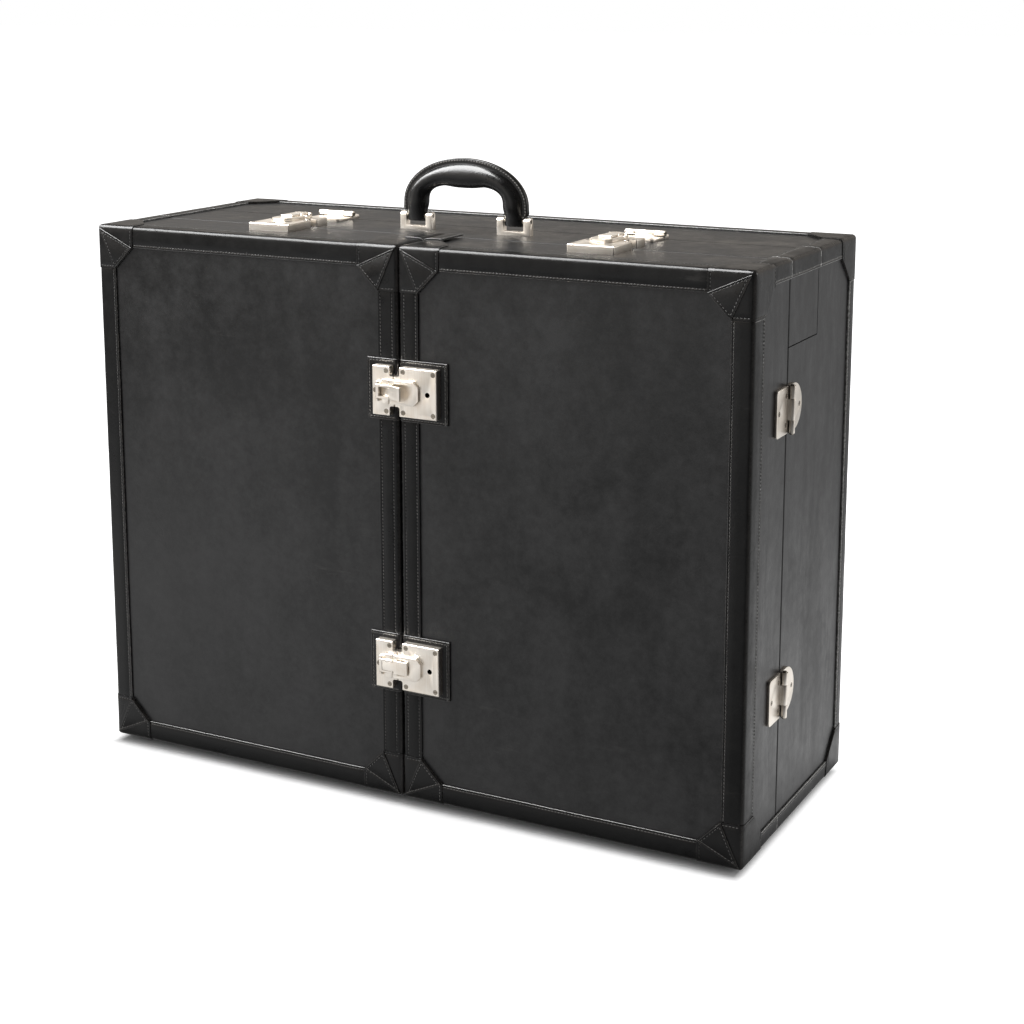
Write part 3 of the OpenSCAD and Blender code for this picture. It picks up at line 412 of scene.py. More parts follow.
def brushed_metal(name, light, dark, rough, along):
    """Metal of the fittings, as nickel plate over brass, brushed before plating. Fine scratches
    about 0.8 mm apart, drawn coarser than real ones so that they show, run along one direction.
    The colour turns darker in patches of about 16 mm, where it is handled or the plate is thin."""
    material, tree, shader = new_material(name)
    coords = add(tree, "ShaderNodeTexCoord")
    place = coords.outputs["Object"]
    stretch = add(tree, "ShaderNodeMapping", {"Vector": place, "Scale": along})
    brush = add(tree, "ShaderNodeTexNoise", {
        "Vector": stretch.outputs[0], "Scale": per_mm(0.8), "Detail": 3.0, "Roughness": 0.6})
    stain = add(tree, "ShaderNodeTexNoise", {"Vector": place, "Scale": per_mm(16), "Detail": 3.0})
    both = add(tree, "ShaderNodeMix", {0: 0.6, 2: brush.outputs[0], 3: stain.outputs[0]})
    colour = ramp(tree, both.outputs[0], [(0.3, dark), (0.56, light)])
    tree.links.new(colour.outputs[0], shader.inputs["Base Color"])
    shine = add(tree, "ShaderNodeMapRange", {
        0: brush.outputs[0], 1: 0.3, 2: 0.7, 3: rough - 0.03, 4: rough + 0.04})
    tree.links.new(shine.outputs[0], shader.inputs["Roughness"])
    bump = add(tree, "ShaderNodeBump", {
        "Height": brush.outputs[0], "Distance": 0.012 * MM, "Strength": 0.15})
    tree.links.new(bump.outputs[0], shader.inputs["Normal"])
    shader.inputs["Metallic"].default_value = 1.0
    return material


def linen_thread(name, dark, light):
    """Waxed linen thread, twisted from three strands: a dull grey with darker twists every
    0.6 mm."""
    material, tree, shader = new_material(name)
    coords = add(tree, "ShaderNodeTexCoord")
    place = coords.outputs["Object"]
    twist = add(tree, "ShaderNodeTexNoise", {"Vector": place, "Scale": per_mm(0.6), "Detail": 2.0})
    soil = add(tree, "ShaderNodeTexNoise", {"Vector": place, "Scale": per_mm(25), "Detail": 3.0})
    both = add(tree, "ShaderNodeMix", {0: 0.65, 2: twist.outputs[0], 3: soil.outputs[0]})
    colour = ramp(tree, both.outputs[0], [(0.38, dark), (0.6, light)])
    tree.links.new(colour.outputs[0], shader.inputs["Base Color"])
    bump = add(tree, "ShaderNodeBump", {
        "Height": twist.outputs[0], "Distance": 0.12 * MM, "Strength": 0.8})
    tree.links.new(bump.outputs[0], shader.inputs["Normal"])
    shader.inputs["Roughness"].default_value = 0.5
    return material


def suede_lining():
    """Split suede glued to the boards: a soft nap that lies one way or the other in patches of
    about 30 mm, with fibres under a millimetre long."""
    material, tree, shader = new_material("suede_lining")
    coords = add(tree, "ShaderNodeTexCoord")
    place = coords.outputs["Object"]
    nap = add(tree, "ShaderNodeTexNoise", {"Vector": place, "Scale": per_mm(30), "Detail": 4.0,
                                          "Distortion": 0.8})
    fibre = add(tree, "ShaderNodeTexNoise", {"Vector": place, "Scale": per_mm(0.9), "Detail": 3.0})
    both = add(tree, "ShaderNodeMix", {0: 0.4, 2: nap.outputs[0], 3: fibre.outputs[0]})
    colour = ramp(tree, both.outputs[0], [(0.35, "#9a8062"), (0.65, "#b89b78")])
    tree.links.new(colour.outputs[0], shader.inputs["Base Color"])
    bump = add(tree, "ShaderNodeBump", {"Height": fibre.outputs[0], "Distance": 0.25 * MM,
                                       "Strength": 0.7})
    tree.links.new(bump.outputs[0], shader.inputs["Normal"])
    shader.inputs["Roughness"].default_value = 0.92
    shader.inputs["Sheen Weight"].default_value = 0.3
    shader.inputs["Sheen Roughness"].default_value = 0.4
    return material


# Directions of brush marks, which run where a pattern's scale is small
BRUSHED_UP, BRUSHED_LEVEL, DRAWN_UP, POLISHED = (
    (1.0, 1.0, 0.03), (0.03, 1.0, 1.0), (1.0, 1.0, 0.05), (1.0, 1.0, 1.0))

field_leather = calf("box_calf_field", "#0b0b0c", "#2c2c2d", "#4a4846", gloss=0.35, sheen=0.48,
                     wave=0.6, crease=0.05, fold_polish=0.35)
strip_leather = calf("box_calf_binding", "#0a0a0b", "#141414", "#4a4744", gloss=0.32, sheen=0.27,
                     wave=0.22, crease=0.08)
cap_leather = calf("box_calf_caps", "#0b0b0c", "#161515", "#4f4b48", gloss=0.31, sheen=0.32,
                   wave=0.35, crease=0.14)
grip_leather = calf("polished_grip_leather", "#0a0a0b", "#101011", "#24221f", gloss=0.32,
                    sheen=0.5, wave=0.1, crease=0.05)
cut_edge = waxed_edge("waxed_cut_edge", "#171616", "#4d4945", 0.26)
# Pale copy of the cut edge: a painted highlight line for the cut edges behind the front
painted_edge_highlight = waxed_edge("worn_cut_edge", "#605f5d", "#b3b2af", 0.4)
thread = linen_thread("waxed_linen_thread", "#323130", "#767472")
# Paler than the case's thread: painted light for the welt's stitches, which lie in dim light
handle_thread_lightened = linen_thread("heavy_linen_thread", "#615f5c", "#b3afa9")
suede = suede_lining()
nickel_upright = brushed_metal("brushed_nickel_upright", "#fdf6ec", "#f0e5d6", 0.36, BRUSHED_UP)
nickel_level = brushed_metal("brushed_nickel_level", "#fdf6ec", "#f0e5d6", 0.34, BRUSHED_LEVEL)
# Screws, pins and bushings are darker than the plates, in part as painted shade for their slots and
# seats
screw_steel_and_shade = brushed_metal("nickelled_screw_steel", "#a49c90", "#6d665b", 0.34, POLISHED)
# Dark metal for the insides of the keyholes: painted shade in the holes
keyhole_shade = brushed_metal("oiled_lock_steel", "#2c2a27", "#151413", 0.5, POLISHED)
rim_brass = brushed_metal("drawn_brass_rim", "#d3ae6a", "#9c7c46", 0.32, DRAWN_UP)


# Thread: rows of stitches, gathered per body and made at the end

rows = {}


def sew(body, start, end, out):
    """A straight row of stitches in case millimetres, from start to end, on a face that looks
    along out."""
    rows.setdefault(body, []).append((Vector(start), Vector(end), Vector(out)))


def stitch_shape(along, out, length=STITCH_LEN, radius=STITCH_R):
    """One stitch: a short strand that dips into the leather at both ends and lies a little
    slanted."""
    shape = bmesh.new()
    bmesh.ops.create_uvsphere(shape, u_segments=6, v_segments=5, radius=1)
    across = out.cross(along).normalized()
    slant = (along + across * STITCH_SLANT).normalized()
    side = out.cross(slant).normalized()
    turn = Matrix((side * radius, out * radius * STITCH_FLAT, slant * length / 2))
    bmesh.ops.transform(shape, matrix=turn.transposed().to_4x4(), verts=shape.verts)
    bmesh.ops.recalc_face_normals(shape, faces=shape.faces)
    return shape


def row_shape(start, end, out):
    way = end - start
    count = max(1, round(way.length / PITCH))
    along = way.normalized()
    step = way / count
    shape = stitch_shape(along, out)
    bmesh.ops.translate(shape, vec=start + step / 2, verts=shape.verts)
    if count > 1:
        bmesh.ops.spin(shape, geom=[*shape.verts, *shape.edges, *shape.faces], cent=(0, 0, 0),
                       axis=(0, 0, 1), dvec=step, angle=0, steps=count - 1, use_duplicate=True)
    return shape


# Binding strips

def strip(length, leg_u, leg_v, seams_u, seams_v, proud, seed):
    """Leather strip folded over an edge. u and v run from the fold along its two faces and w along
    the edge. The seams are given by their distance from the cut edges."""
    shape = sheet_box((-proud, -proud, 0), (leg_u, leg_v, length), (-X, -Y))
    round_folds(shape, EDGE_R)
    for seam in seams_u:
        press_line(shape, -Y, X, leg_u - seam)
    for seam in seams_v:
        press_line(shape, -X, Y, leg_v - seam)
    for distance in FOLD_CUTS:
        cut(shape, X * distance, X)
        cut(shape, Y * distance, Y)
    cut_often(shape, Z, 0, length, STRIP_CUT)
    turn_softly(shape, (X, Y))
    thicken(shape, STRIP_T + proud - UNDER)
    ease_edges(shape, EDGE_EASE, finish=1)
    wander(shape, amount=0.16, size=26, seed=seed)
    return shape


def bind(side, place, u, v, w, length, leg_u, leg_v, body, seams_u=(SEAM_IN,), seams_v=(SEAM_IN,),
         proud=0.0):
    """A strip on the left door or body, or its mirror image on the right, with its rows of
    stitches."""
    flip = Vector((-1, 1, 1)) if side > 0 else Vector((1, 1, 1))
    place, u, v, w = (Vector(a) * flip for a in (place, u, v, w))
    seed = place.length * 0.37 % 97        # another one at each place
    for seam in seams_u:
        line = place + u * (leg_u - seam) + v * (fall_at(leg_u - seam) - proud)
        sew(body, line + w * ROW_INSET, line + w * (length - ROW_INSET), -v)
    for seam in seams_v:
        line = place + v * (leg_v - seam) + u * (fall_at(leg_v - seam) - proud)
        sew(body, line + w * ROW_INSET, line + w * (length - ROW_INSET), -u)
    return placed(strip(length, leg_u, leg_v, seams_u, seams_v, proud, seed), place, u, v, w)


def door_strips(side, body):
    left, half_patch = -CASE_W / 2, PATCH_H / 2
    lengths = [(CAP_LEN, LOCK_Z[0] - half_patch),
               (LOCK_Z[0] + half_patch, LOCK_Z[1] - half_patch),
               (LOCK_Z[1] + half_patch, CASE_H - CAP_LEN)]
    tall = CASE_H - 2 * CAP_LEN
    wide = CASE_W / 2 - DOOR_EDGE - 2 * CAP_LEN
    deep = DOOR_END - CAP_DEPTH
    centre = (SEAM_IN, FRONT_LEG - CENTRE_SEAM_IN)
    shapes = [bind(side, (left, 0, CAP_LEN), X, Y, Z, tall, FRONT_LEG, SIDE_FRONT, body)]
    shapes += [bind(side, (-DOOR_EDGE, 0, low), Y, -X, Z, high - low, TOP_LEG, FRONT_LEG, body,
                    seams_v=centre) for low, high in lengths]
    shapes += [
        bind(side, (left + CAP_LEN, 0, CASE_H), -Z, Y, X, wide, FRONT_LEG, TOP_LEG, body),
        bind(side, (left + CAP_LEN, 0, 0), Y, Z, X, wide, TOP_LEG, FRONT_LEG, body),
        bind(side, (left, CAP_DEPTH, CASE_H), X, -Z, Y, deep, TOP_LEG, SIDE_TOP, body),
        bind(side, (left, CAP_DEPTH, 0), Z, X, Y, deep, SIDE_LOW, TOP_LEG, body),
        bind(side, (-DOOR_EDGE, CAP_DEPTH, CASE_H), -Z, -X, Y, deep, TOP_LEG, TOP_LEG, body,
             seams_u=()),
        bind(side, (-DOOR_EDGE, CAP_DEPTH, 0), -X, Z, Y, deep, TOP_LEG, TOP_LEG, body,
             seams_v=())]
    return shapes


def body_strips(side):
    left = -CASE_W / 2
    tall = CASE_H - 2 * CAP_LEN
    rear_end = CASE_D - CAP_LEN
    lid_end = LID_BACK + GAP / 2
    top, low = rear_end - lid_end, rear_end - BODY_START
    return [bind(side, (left, CASE_D, CAP_LEN), -Y, X, Z, tall, SIDE_REAR, FRONT_LEG, "body"),
            bind(side, (left, lid_end, CASE_H), X, -Z, Y, top, TOP_LEG, SIDE_TOP, "body"),
            bind(side, (left, BODY_START, 0), Z, X, Y, low, SIDE_LOW, TOP_LEG, "body")]


def rear_strips():
    start = CAP_LEN - CASE_W / 2
    wide = CASE_W - 2 * CAP_LEN
    return [bind(-1, (start, CASE_D, CASE_H), -Y, -Z, X, wide, TOP_LEG, FRONT_LEG, "body"),
            bind(-1, (start, CASE_D, 0), Z, -Y, X, wide, FRONT_LEG, TOP_LEG, "body")]


# Corner caps

def cap(length, front, flat, side, seed):
    """Leather cap over three faces, with its corner at the origin, pressed to a round corner and
    sewn along its ends."""
    p = CAP_PROUD
    lx, ly, lz = length
    shape = sheet_box((-p, -p, -p), length, (-X, -Y, -Z))
    round_folds(shape, EDGE_R, 4)
    cuts = ((-Y, (lx, 0, front[0]), (lz - front[0], 0, lx - front[1])),
            (-Z, (lx, flat[0], 0), (ly - flat[0], lx - flat[1], 0)),
            (-X, (0, ly, side[0]), (0, lz - side[0], ly - side[1])))
    for out, place, across in cuts:
        cut(shape, Vector(place), Vector(across).normalized(), facing(shape, out), drop=True)
    for out in (-Y, -Z, -X):
        for across, end in ((X, lx), (Y, ly), (Z, lz)):
            if abs(across.dot(out)) < 0.5:
                press_line(shape, out, across, end - SEAM_IN)
    for across, end in ((X, lx), (Y, ly), (Z, lz)):
        cut_often(shape, across, EDGE_R, end - CAP_CUT, CAP_CUT)
    turn_softly(shape, (X, Y, Z))
    thicken(shape, STRIP_T + p - UNDER)
    ease_edges(shape, EDGE_EASE, finish=1)
    wander(shape, amount=0.16, size=22, seed=seed)
    return shape


# Tip and two ends of the triangle sewn onto a front cap, with the cap's corner at the origin
TRIANGLE = (Vector((TIP_IN, 0, TIP_IN)),
            Vector((CAP_LEN - END_IN, 0, FRONT_LEG - LEG_IN)),
            Vector((FRONT_LEG - LEG_IN, 0, CAP_LEN - END_IN)))


def triangle(seed):
    """The triangle, let a little into the cap, with its seams pressed in."""
    shape = bmesh.new()
    under = -Y * (CAP_PROUD - LET_IN)
    face = shape.faces.new([shape.verts.new(corner + under) for corner in TRIANGLE])
    raised = bmesh.ops.extrude_face_region(shape, geom=[face])["geom"]
    moved = [g for g in raised if isinstance(g, bmesh.types.BMVert)]
    bmesh.ops.translate(shape, vec=-Y * (OVERLAY_T + LET_IN), verts=moved)
    bmesh.ops.recalc_face_normals(shape, faces=shape.faces)
    for across, place in triangle_seams():
        press_line(shape, -Y, across, place, depth=0.25, half=0.7)
    turn_softly(shape, (X, Y, Z))
    ease_edges(shape, TRIANGLE_EASE, finish=1)
    wander(shape, amount=0.14, size=18, seed=seed)
    return shape


def triangle_seams():
    """Inward direction and place of the seam along each side of the triangle."""
    seams = []
    for i, a in enumerate(TRIANGLE):
        b, inside = TRIANGLE[(i + 1) % 3], TRIANGLE[(i + 2) % 3]
        inward = (b - a).cross(Y).normalized()
        if (inside - a).dot(inward) < 0:
            inward = -inward
        seams.append((inward, a.dot(inward) + TRIANGLE_SEAM_IN))
    return seams


def crossing(first, second):
    """Point where two seams of the triangle meet."""
    (n1, d1), (n2, d2) = first, second
    det = n1.x * n2.z - n1.z * n2.x
    return Vector(((d1 * n2.z - n1.z * d2) / det, 0, (n1.x * d2 - n2.x * d1) / det))


def add_cap(shapes, overlays, place, turn, length, front, flat, side, body, sewn_triangle):
    """A cap at a corner of the case, its seams, and its triangle. turn gives the signs of x, y
    and z."""
    place, turn = Vector(place), Vector(turn)
    u, v, w = X * turn.x, Y * turn.y, Z * turn.z
    seed = (place.length + place.x * 0.3) * 0.11 % 53        # another one at each place
    shapes.append(placed(cap(length, front, flat, side, seed), place, u, v, w))

    def in_case(point, out):
        beside = min(c for c, o in zip(point, out) if abs(o) < 0.5)
        return place + (Vector(point) - out * fall_at(beside)) * turn

    lx, ly, lz = length
    p, r, end = CAP_PROUD, EDGE_R, ROW_END
    for a, b, out in (
            ((lx - SEAM_IN, -p, r), (lx - SEAM_IN, -p, front[0] - end), -Y),
            ((r, -p, lz - SEAM_IN), (front[1] - end, -p, lz - SEAM_IN), -Y),
            ((lx - SEAM_IN, r, -p), (lx - SEAM_IN, flat[0] - end, -p), -Z),
            ((r, ly - SEAM_IN, -p), (flat[1] - end, ly - SEAM_IN, -p), -Z),
            ((-p, ly - SEAM_IN, r), (-p, ly - SEAM_IN, side[0] - end), -X),
            ((-p, r, lz - SEAM_IN), (-p, side[1] - end, lz - SEAM_IN), -X)):
        sew(body, in_case(a, out), in_case(b, out), out * turn)
    if sewn_triangle:
        overlays.append(placed(triangle(seed), place, u, v, w))
        seams = triangle_seams()
        top = -Y * (CAP_PROUD + OVERLAY_T)
        for i in range(3):
            a = crossing(seams[i - 1], seams[i]) + top
            b = crossing(seams[i], seams[(i + 1) % 3]) + top
            sew(body, in_case(a, -Y), in_case(b, -Y), -Y * turn.y)


def door_caps(side, body):
    shapes, overlays = [], []
    length = (CAP_LEN, CAP_DEPTH, CAP_LEN)
    outer, inner = side * CASE_W / 2, side * DOOR_EDGE
    for place, turn, legs in (
            ((outer, 0, 0), (-side, 1, 1), (SIDE_LOW, SIDE_FRONT)),
            ((outer, 0, CASE_H), (-side, 1, -1), (SIDE_TOP, SIDE_FRONT)),
            ((inner, 0, 0), (side, 1, 1), (TOP_LEG, TOP_LEG)),
            ((inner, 0, CASE_H), (side, 1, -1), (TOP_LEG, TOP_LEG))):
        add_cap(shapes, overlays, place, turn, length, (FRONT_LEG, FRONT_LEG),
                (TOP_LEG, TOP_LEG), legs, body, True)
    return shapes, overlays


def body_caps():
    shapes = []
    length = (CAP_LEN, CAP_LEN, CAP_LEN)
    for side in (-1, 1):
        for z, up, legs in ((0, 1, (SIDE_LOW, SIDE_REAR)), (CASE_H, -1, (SIDE_TOP, SIDE_REAR))):
            add_cap(shapes, [], (side * CASE_W / 2, CASE_D, z), (-side, -1, up), length,
                    (FRONT_LEG, FRONT_LEG), (TOP_LEG, TOP_LEG), legs, "body", False)
    return shapes


# Patches under the locks

def patch(side, z, reach, body):
    place = Vector((side * DOOR_EDGE, 0, z - PATCH_H / 2))
    leg = reach - DOOR_EDGE
    shape = sheet_box((-PATCH_PROUD, -PATCH_PROUD, 0), (TOP_LEG, leg, PATCH_H), (-X, -Y))
    round_folds(shape, EDGE_R)
    press_line(shape, -X, Y, leg - SEAM_IN)
    ends = (SEAM_IN, PATCH_H - SEAM_IN)
    for end in ends:
        press_line(shape, -X, Z, end)
    for distance in FOLD_CUTS:
        cut(shape, Y * distance, Y)
    cut_often(shape, Z, 0, PATCH_H, PATCH_CUT)
    turn_softly(shape, (X, Y))
    thicken(shape, STRIP_T + PATCH_PROUD - UNDER)
    ease_edges(shape, EDGE_EASE, finish=1)
    wander(shape, amount=0.1, size=22, seed=z * 0.1 + side)
    u, v, w = Y, X * side, Z
    line = place + v * (leg - SEAM_IN) - u * PATCH_PROUD
    sew(body, line + w * ends[0], line + w * ends[1], -u)
    for end in ends:
        line = place + w * end - u * PATCH_PROUD
        sew(body, line + v * EDGE_R + u * fall_at(EDGE_R), line + v * (leg - SEAM_IN), -u)
    return placed(shape, place, u, v, w)


strips = [strip_leather, cut_edge, painted_edge_highlight]
cap_leathers = [cap_leather, cut_edge, painted_edge_highlight]
for side, door, reach in ((-1, "door_left", PATCH_LEFT), (1, "door_right", PATCH_RIGHT)):
    make_piece(door + "_binding_strips", door_strips(side, door), strips, door,
               [door + "_binding"])
    caps, overlays = door_caps(side, door)
    make_piece(door + "_leather_caps", caps, cap_leathers, door,
               [door + "_corner_caps"])
    make_piece(door + "_sewn_triangles", overlays, cap_leathers, door,
               [door + "_cap_overlays"])
    make_piece(door + "_sewn_patches", [patch(side, z, reach, door) for z in LOCK_Z],
               cap_leathers, door, [door + "_lock_patches"])

make_piece("body_binding_strips", body_strips(-1) + body_strips(1) + rear_strips(), strips,
           "body", ["body_binding"])
make_piece("body_leather_caps", body_caps(), cap_leathers, "body",
           ["body_corner_caps"])
lid_strips = [bind(side, (-CASE_W / 2, BODY_START, CASE_H), X, -Z, Y, LID_D - GAP, TOP_LEG,
                   SIDE_TOP, "body") for side in (-1, 1)]
make_piece("lid_binding_strips", lid_strips, strips, "body", ["lid_binding"])

for body, lines in rows.items():
    make_piece(body + "_stitches", [row_shape(*line) for line in lines], [thread], body)


# Handle: a padded bow that ends between the ears of its brackets, with the welt where its leather
# meets

def mix(a, b, t):
    return a + (b - a) * t


def ease(t):
    return t * t * (3 - 2 * t)


def leg_ring(z):
    """Outer and inner point of the bow in x and z, and half its depth, at a height of its leg."""
    t = ease(max(0.0, (z - SPREAD_FROM) / (LEG_TOP - SPREAD_FROM)))
    return (mix((BRACKET_SPAN + LEG_W) / 2, HANDLE_OUT - WELT_H, t), z,
            mix((BRACKET_SPAN - LEG_W) / 2, HANDLE_IN, t), z,
            mix(LEG_HALF, BOW_END_HALF, ease((z - LEG_LOW) / (LEG_TOP - LEG_LOW))))


def bow_ring(angle):
    """The same at an angle of the bow. Near the top its inside swells down into the palm."""
    c, s = max(0.0, math.cos(angle)), math.sin(angle)
    swell = ease(max(0.0, (math.degrees(angle) - SWELL_ANGLE) / (90 - SWELL_ANGLE)))
    top, under = CASE_H + HANDLE_H - WELT_H, CASE_H + GRIP_UNDER
    return ((HANDLE_OUT - WELT_H) * c, LEG_TOP + (top - LEG_TOP) * s,
            HANDLE_IN * c ** INNER_CURVE,
            LEG_TOP + (under - LEG_TOP) * s ** INNER_CURVE - GRIP_SWELL * swell,
            mix(BOW_END_HALF, GRIP_HALF, s))


def bow_rings():
    """From the left leg's end over the top to the right leg's: middle, outward direction, half the
    height and half the depth."""
    half_bow = [leg_ring(mix(LEG_LOW, LEG_TOP, i / LEG_RINGS)) for i in range(LEG_RINGS)]
    half_bow += [bow_ring(math.radians(90 * i / BOW_RINGS)) for i in range(BOW_RINGS + 1)]
    whole = [(-r[0], r[1], -r[2], r[3], r[4]) for r in half_bow] + half_bow[-2::-1]
    rings = []
    for x_out, z_out, x_in, z_in, depth in whole:
        outer, inner = Vector((x_out, HANDLE_Y, z_out)), Vector((x_in, HANDLE_Y, z_in))
        height = outer - inner
        rings.append(((outer + inner) / 2, height.normalized(), height.length / 2, depth))
    return rings


def loft(sections, points, start=0.0):
    """A closed tube through rings. Each section is a middle, two directions and two half sizes."""
    shape = bmesh.new()
    start_turn = Matrix.Rotation(start, 4, "Z")
    rings = []
    for middle, first, second, half_first, half_second in sections:
        axes = Matrix((first * half_first, second * half_second, first.cross(second)))
        place = Matrix.Translation(middle) @ axes.transposed().to_4x4() @ start_turn
        made = bmesh.ops.create_circle(shape, cap_ends=False, segments=points, radius=1,
                                       matrix=place)
        rings.append(dict.fromkeys(e for v in made["verts"] for e in v.link_edges))
    for low, high in zip(rings, rings[1:]):
        bmesh.ops.bridge_loops(shape, edges=[*low, *high])
    bmesh.ops.holes_fill(shape, edges=[e for e in shape.edges if e.is_boundary], sides=0)
    bmesh.ops.recalc_face_normals(shape, faces=shape.faces)
    return shape


def handle_welt(rings):
    """The welt, which starts a few rings above the ends and takes as many more to rise, and the
    line of its seam."""
    sections, seam = [], []
    for i, (middle, out, half, _) in enumerate(rings):
        from_end = min(i, len(rings) - 1 - i)
        rise = WELT_H * ease(min(1.0, max(0, from_end - WELT_RINGS) / WELT_RINGS))
        if rise > 0:
            low, high = half - WELT_ROOT, half + rise
            # Half diagonals, as the four points lie in the corners of a rectangle
            sections.append((middle + out * (low + high) / 2, out, Y,
                             (high - low) * math.sqrt(0.5), WELT_W * math.sqrt(0.5)))
            seam.append(middle + out * (high - WELT_SEAM))
    shape = loft(sections, points=4, start=math.radians(45))
    ease_edges(shape, WELT_EASE, angle=60)
    return shape, seam


def along_line(line, pitch):
    """Places and directions at equal distances along a line of points."""
    found, left = [], pitch / 2
    for a, b in zip(line, line[1:]):
        way = b - a
        while left < way.length:
            found.append((a + way.normalized() * left, way.normalized()))
            left += pitch
        left -= way.length
    return found


rings = bow_rings()
bow = loft([(middle, out, Y, half, depth) for middle, out, half, depth in rings], points=28)
ease_edges(bow, width=1.2, angle=60)
welt, seam = handle_welt(rings)
welt_stitches = []
for out in (-Y, Y):
    for point, along in along_line(seam, WELT_PITCH):
        stitch = stitch_shape(along, out, WELT_STITCH_LEN, WELT_STITCH_R)
        bmesh.ops.translate(stitch, vec=point + out * WELT_W / 2, verts=stitch.verts)
        welt_stitches.append(stitch)
make_piece("handle_bow", [bow, welt], [grip_leather], "handle", ["handle_grip"])
make_piece("handle_stitches", welt_stitches, [handle_thread_lightened], "handle")


# Metal and linings: the solids' own shapes with their edges rounded, as buffing or glue leaves them

KEYHOLES = [(Vector((KEY_S, 0, z)), Y) for z in LOCK_Z]
KEYHOLES += [(Vector((x, DOOR_D - KEY_S, 0)), Z) for x in (-LATCH_X, LATCH_X)]


def in_keyhole(point):
    return any((point - place).cross(axis).length < KEY_R + KEY_SLACK
               for place, axis in KEYHOLES)


def rounded_copy(name, ending, material, width):
    """A copy of a solid with its loose triangles joined and its edges rounded. The inside of a
    keyhole is painted dark: painted shade in the hole."""
    solid = frame["nodes"][name]
    shape = bmesh.new()
    shape.from_mesh(solid.data)
    bmesh.ops.transform(shape, matrix=CASE_IN_ROW.inverted(), verts=shape.verts)
    bmesh.ops.remove_doubles(shape, verts=shape.verts, dist=0.01)
    bmesh.ops.dissolve_limit(shape, angle_limit=math.radians(1), verts=shape.verts,
                             edges=shape.edges)
    ease_edges(shape, width, segments=2, angle=35)
    materials = [material]
    if name.endswith(("key_plates", "top_plate")):
        materials.append(keyhole_shade)
        for face in shape.faces:
            if in_keyhole(face.calc_center_median()):
                face.material_index = 1
    return make_piece(name + ending, [shape], materials, BODY_OF[name], [name],
                      smooth_below=30)


UPRIGHT = ("door_left_tee_plates", "door_right_key_plates", "hasp_upper", "hasp_lower",
           "lever_upper", "lever_lower", "door_left_hinge_leaves", "door_right_hinge_leaves",
           "body_hinge_leaves", "handle_brackets")
LEVEL = ("lid_tee_plates", "door_left_top_plate", "door_right_top_plate", "hasp_top_left",
         "hasp_top_right", "lever_top_left", "lever_top_right", "lid_hinge_leaves",
         "top_hinge_leaves")
LININGS = ("body_lining", "lid_lining", "door_left_lining", "door_right_lining")

for name in UPRIGHT:
    rounded_copy(name, "_buffed", nickel_upright, METAL_EDGE)
for name in LEVEL:
    rounded_copy(name, "_buffed", nickel_level, METAL_EDGE)
for name in LININGS:
    rounded_copy(name, "_suede", suede, LINING_EDGE)


# Finishes of the solids that stay as they are

def finish_solid(name, material):
    solid = frame["nodes"][name]
    solid.data.materials.clear()
    solid.data.materials.append(material)


for name in frame["nodes"]:
    if "screws" in name or "pins" in name or "bushings" in name:
        finish_solid(name, screw_steel_and_shade)
    elif name in ("body_rim", "body_feet"):
        finish_solid(name, rim_brass)
    else:
        finish_solid(name, field_leather)


# Studio: a white paper floor, a white surround, and soft lamps. Places are in metres.

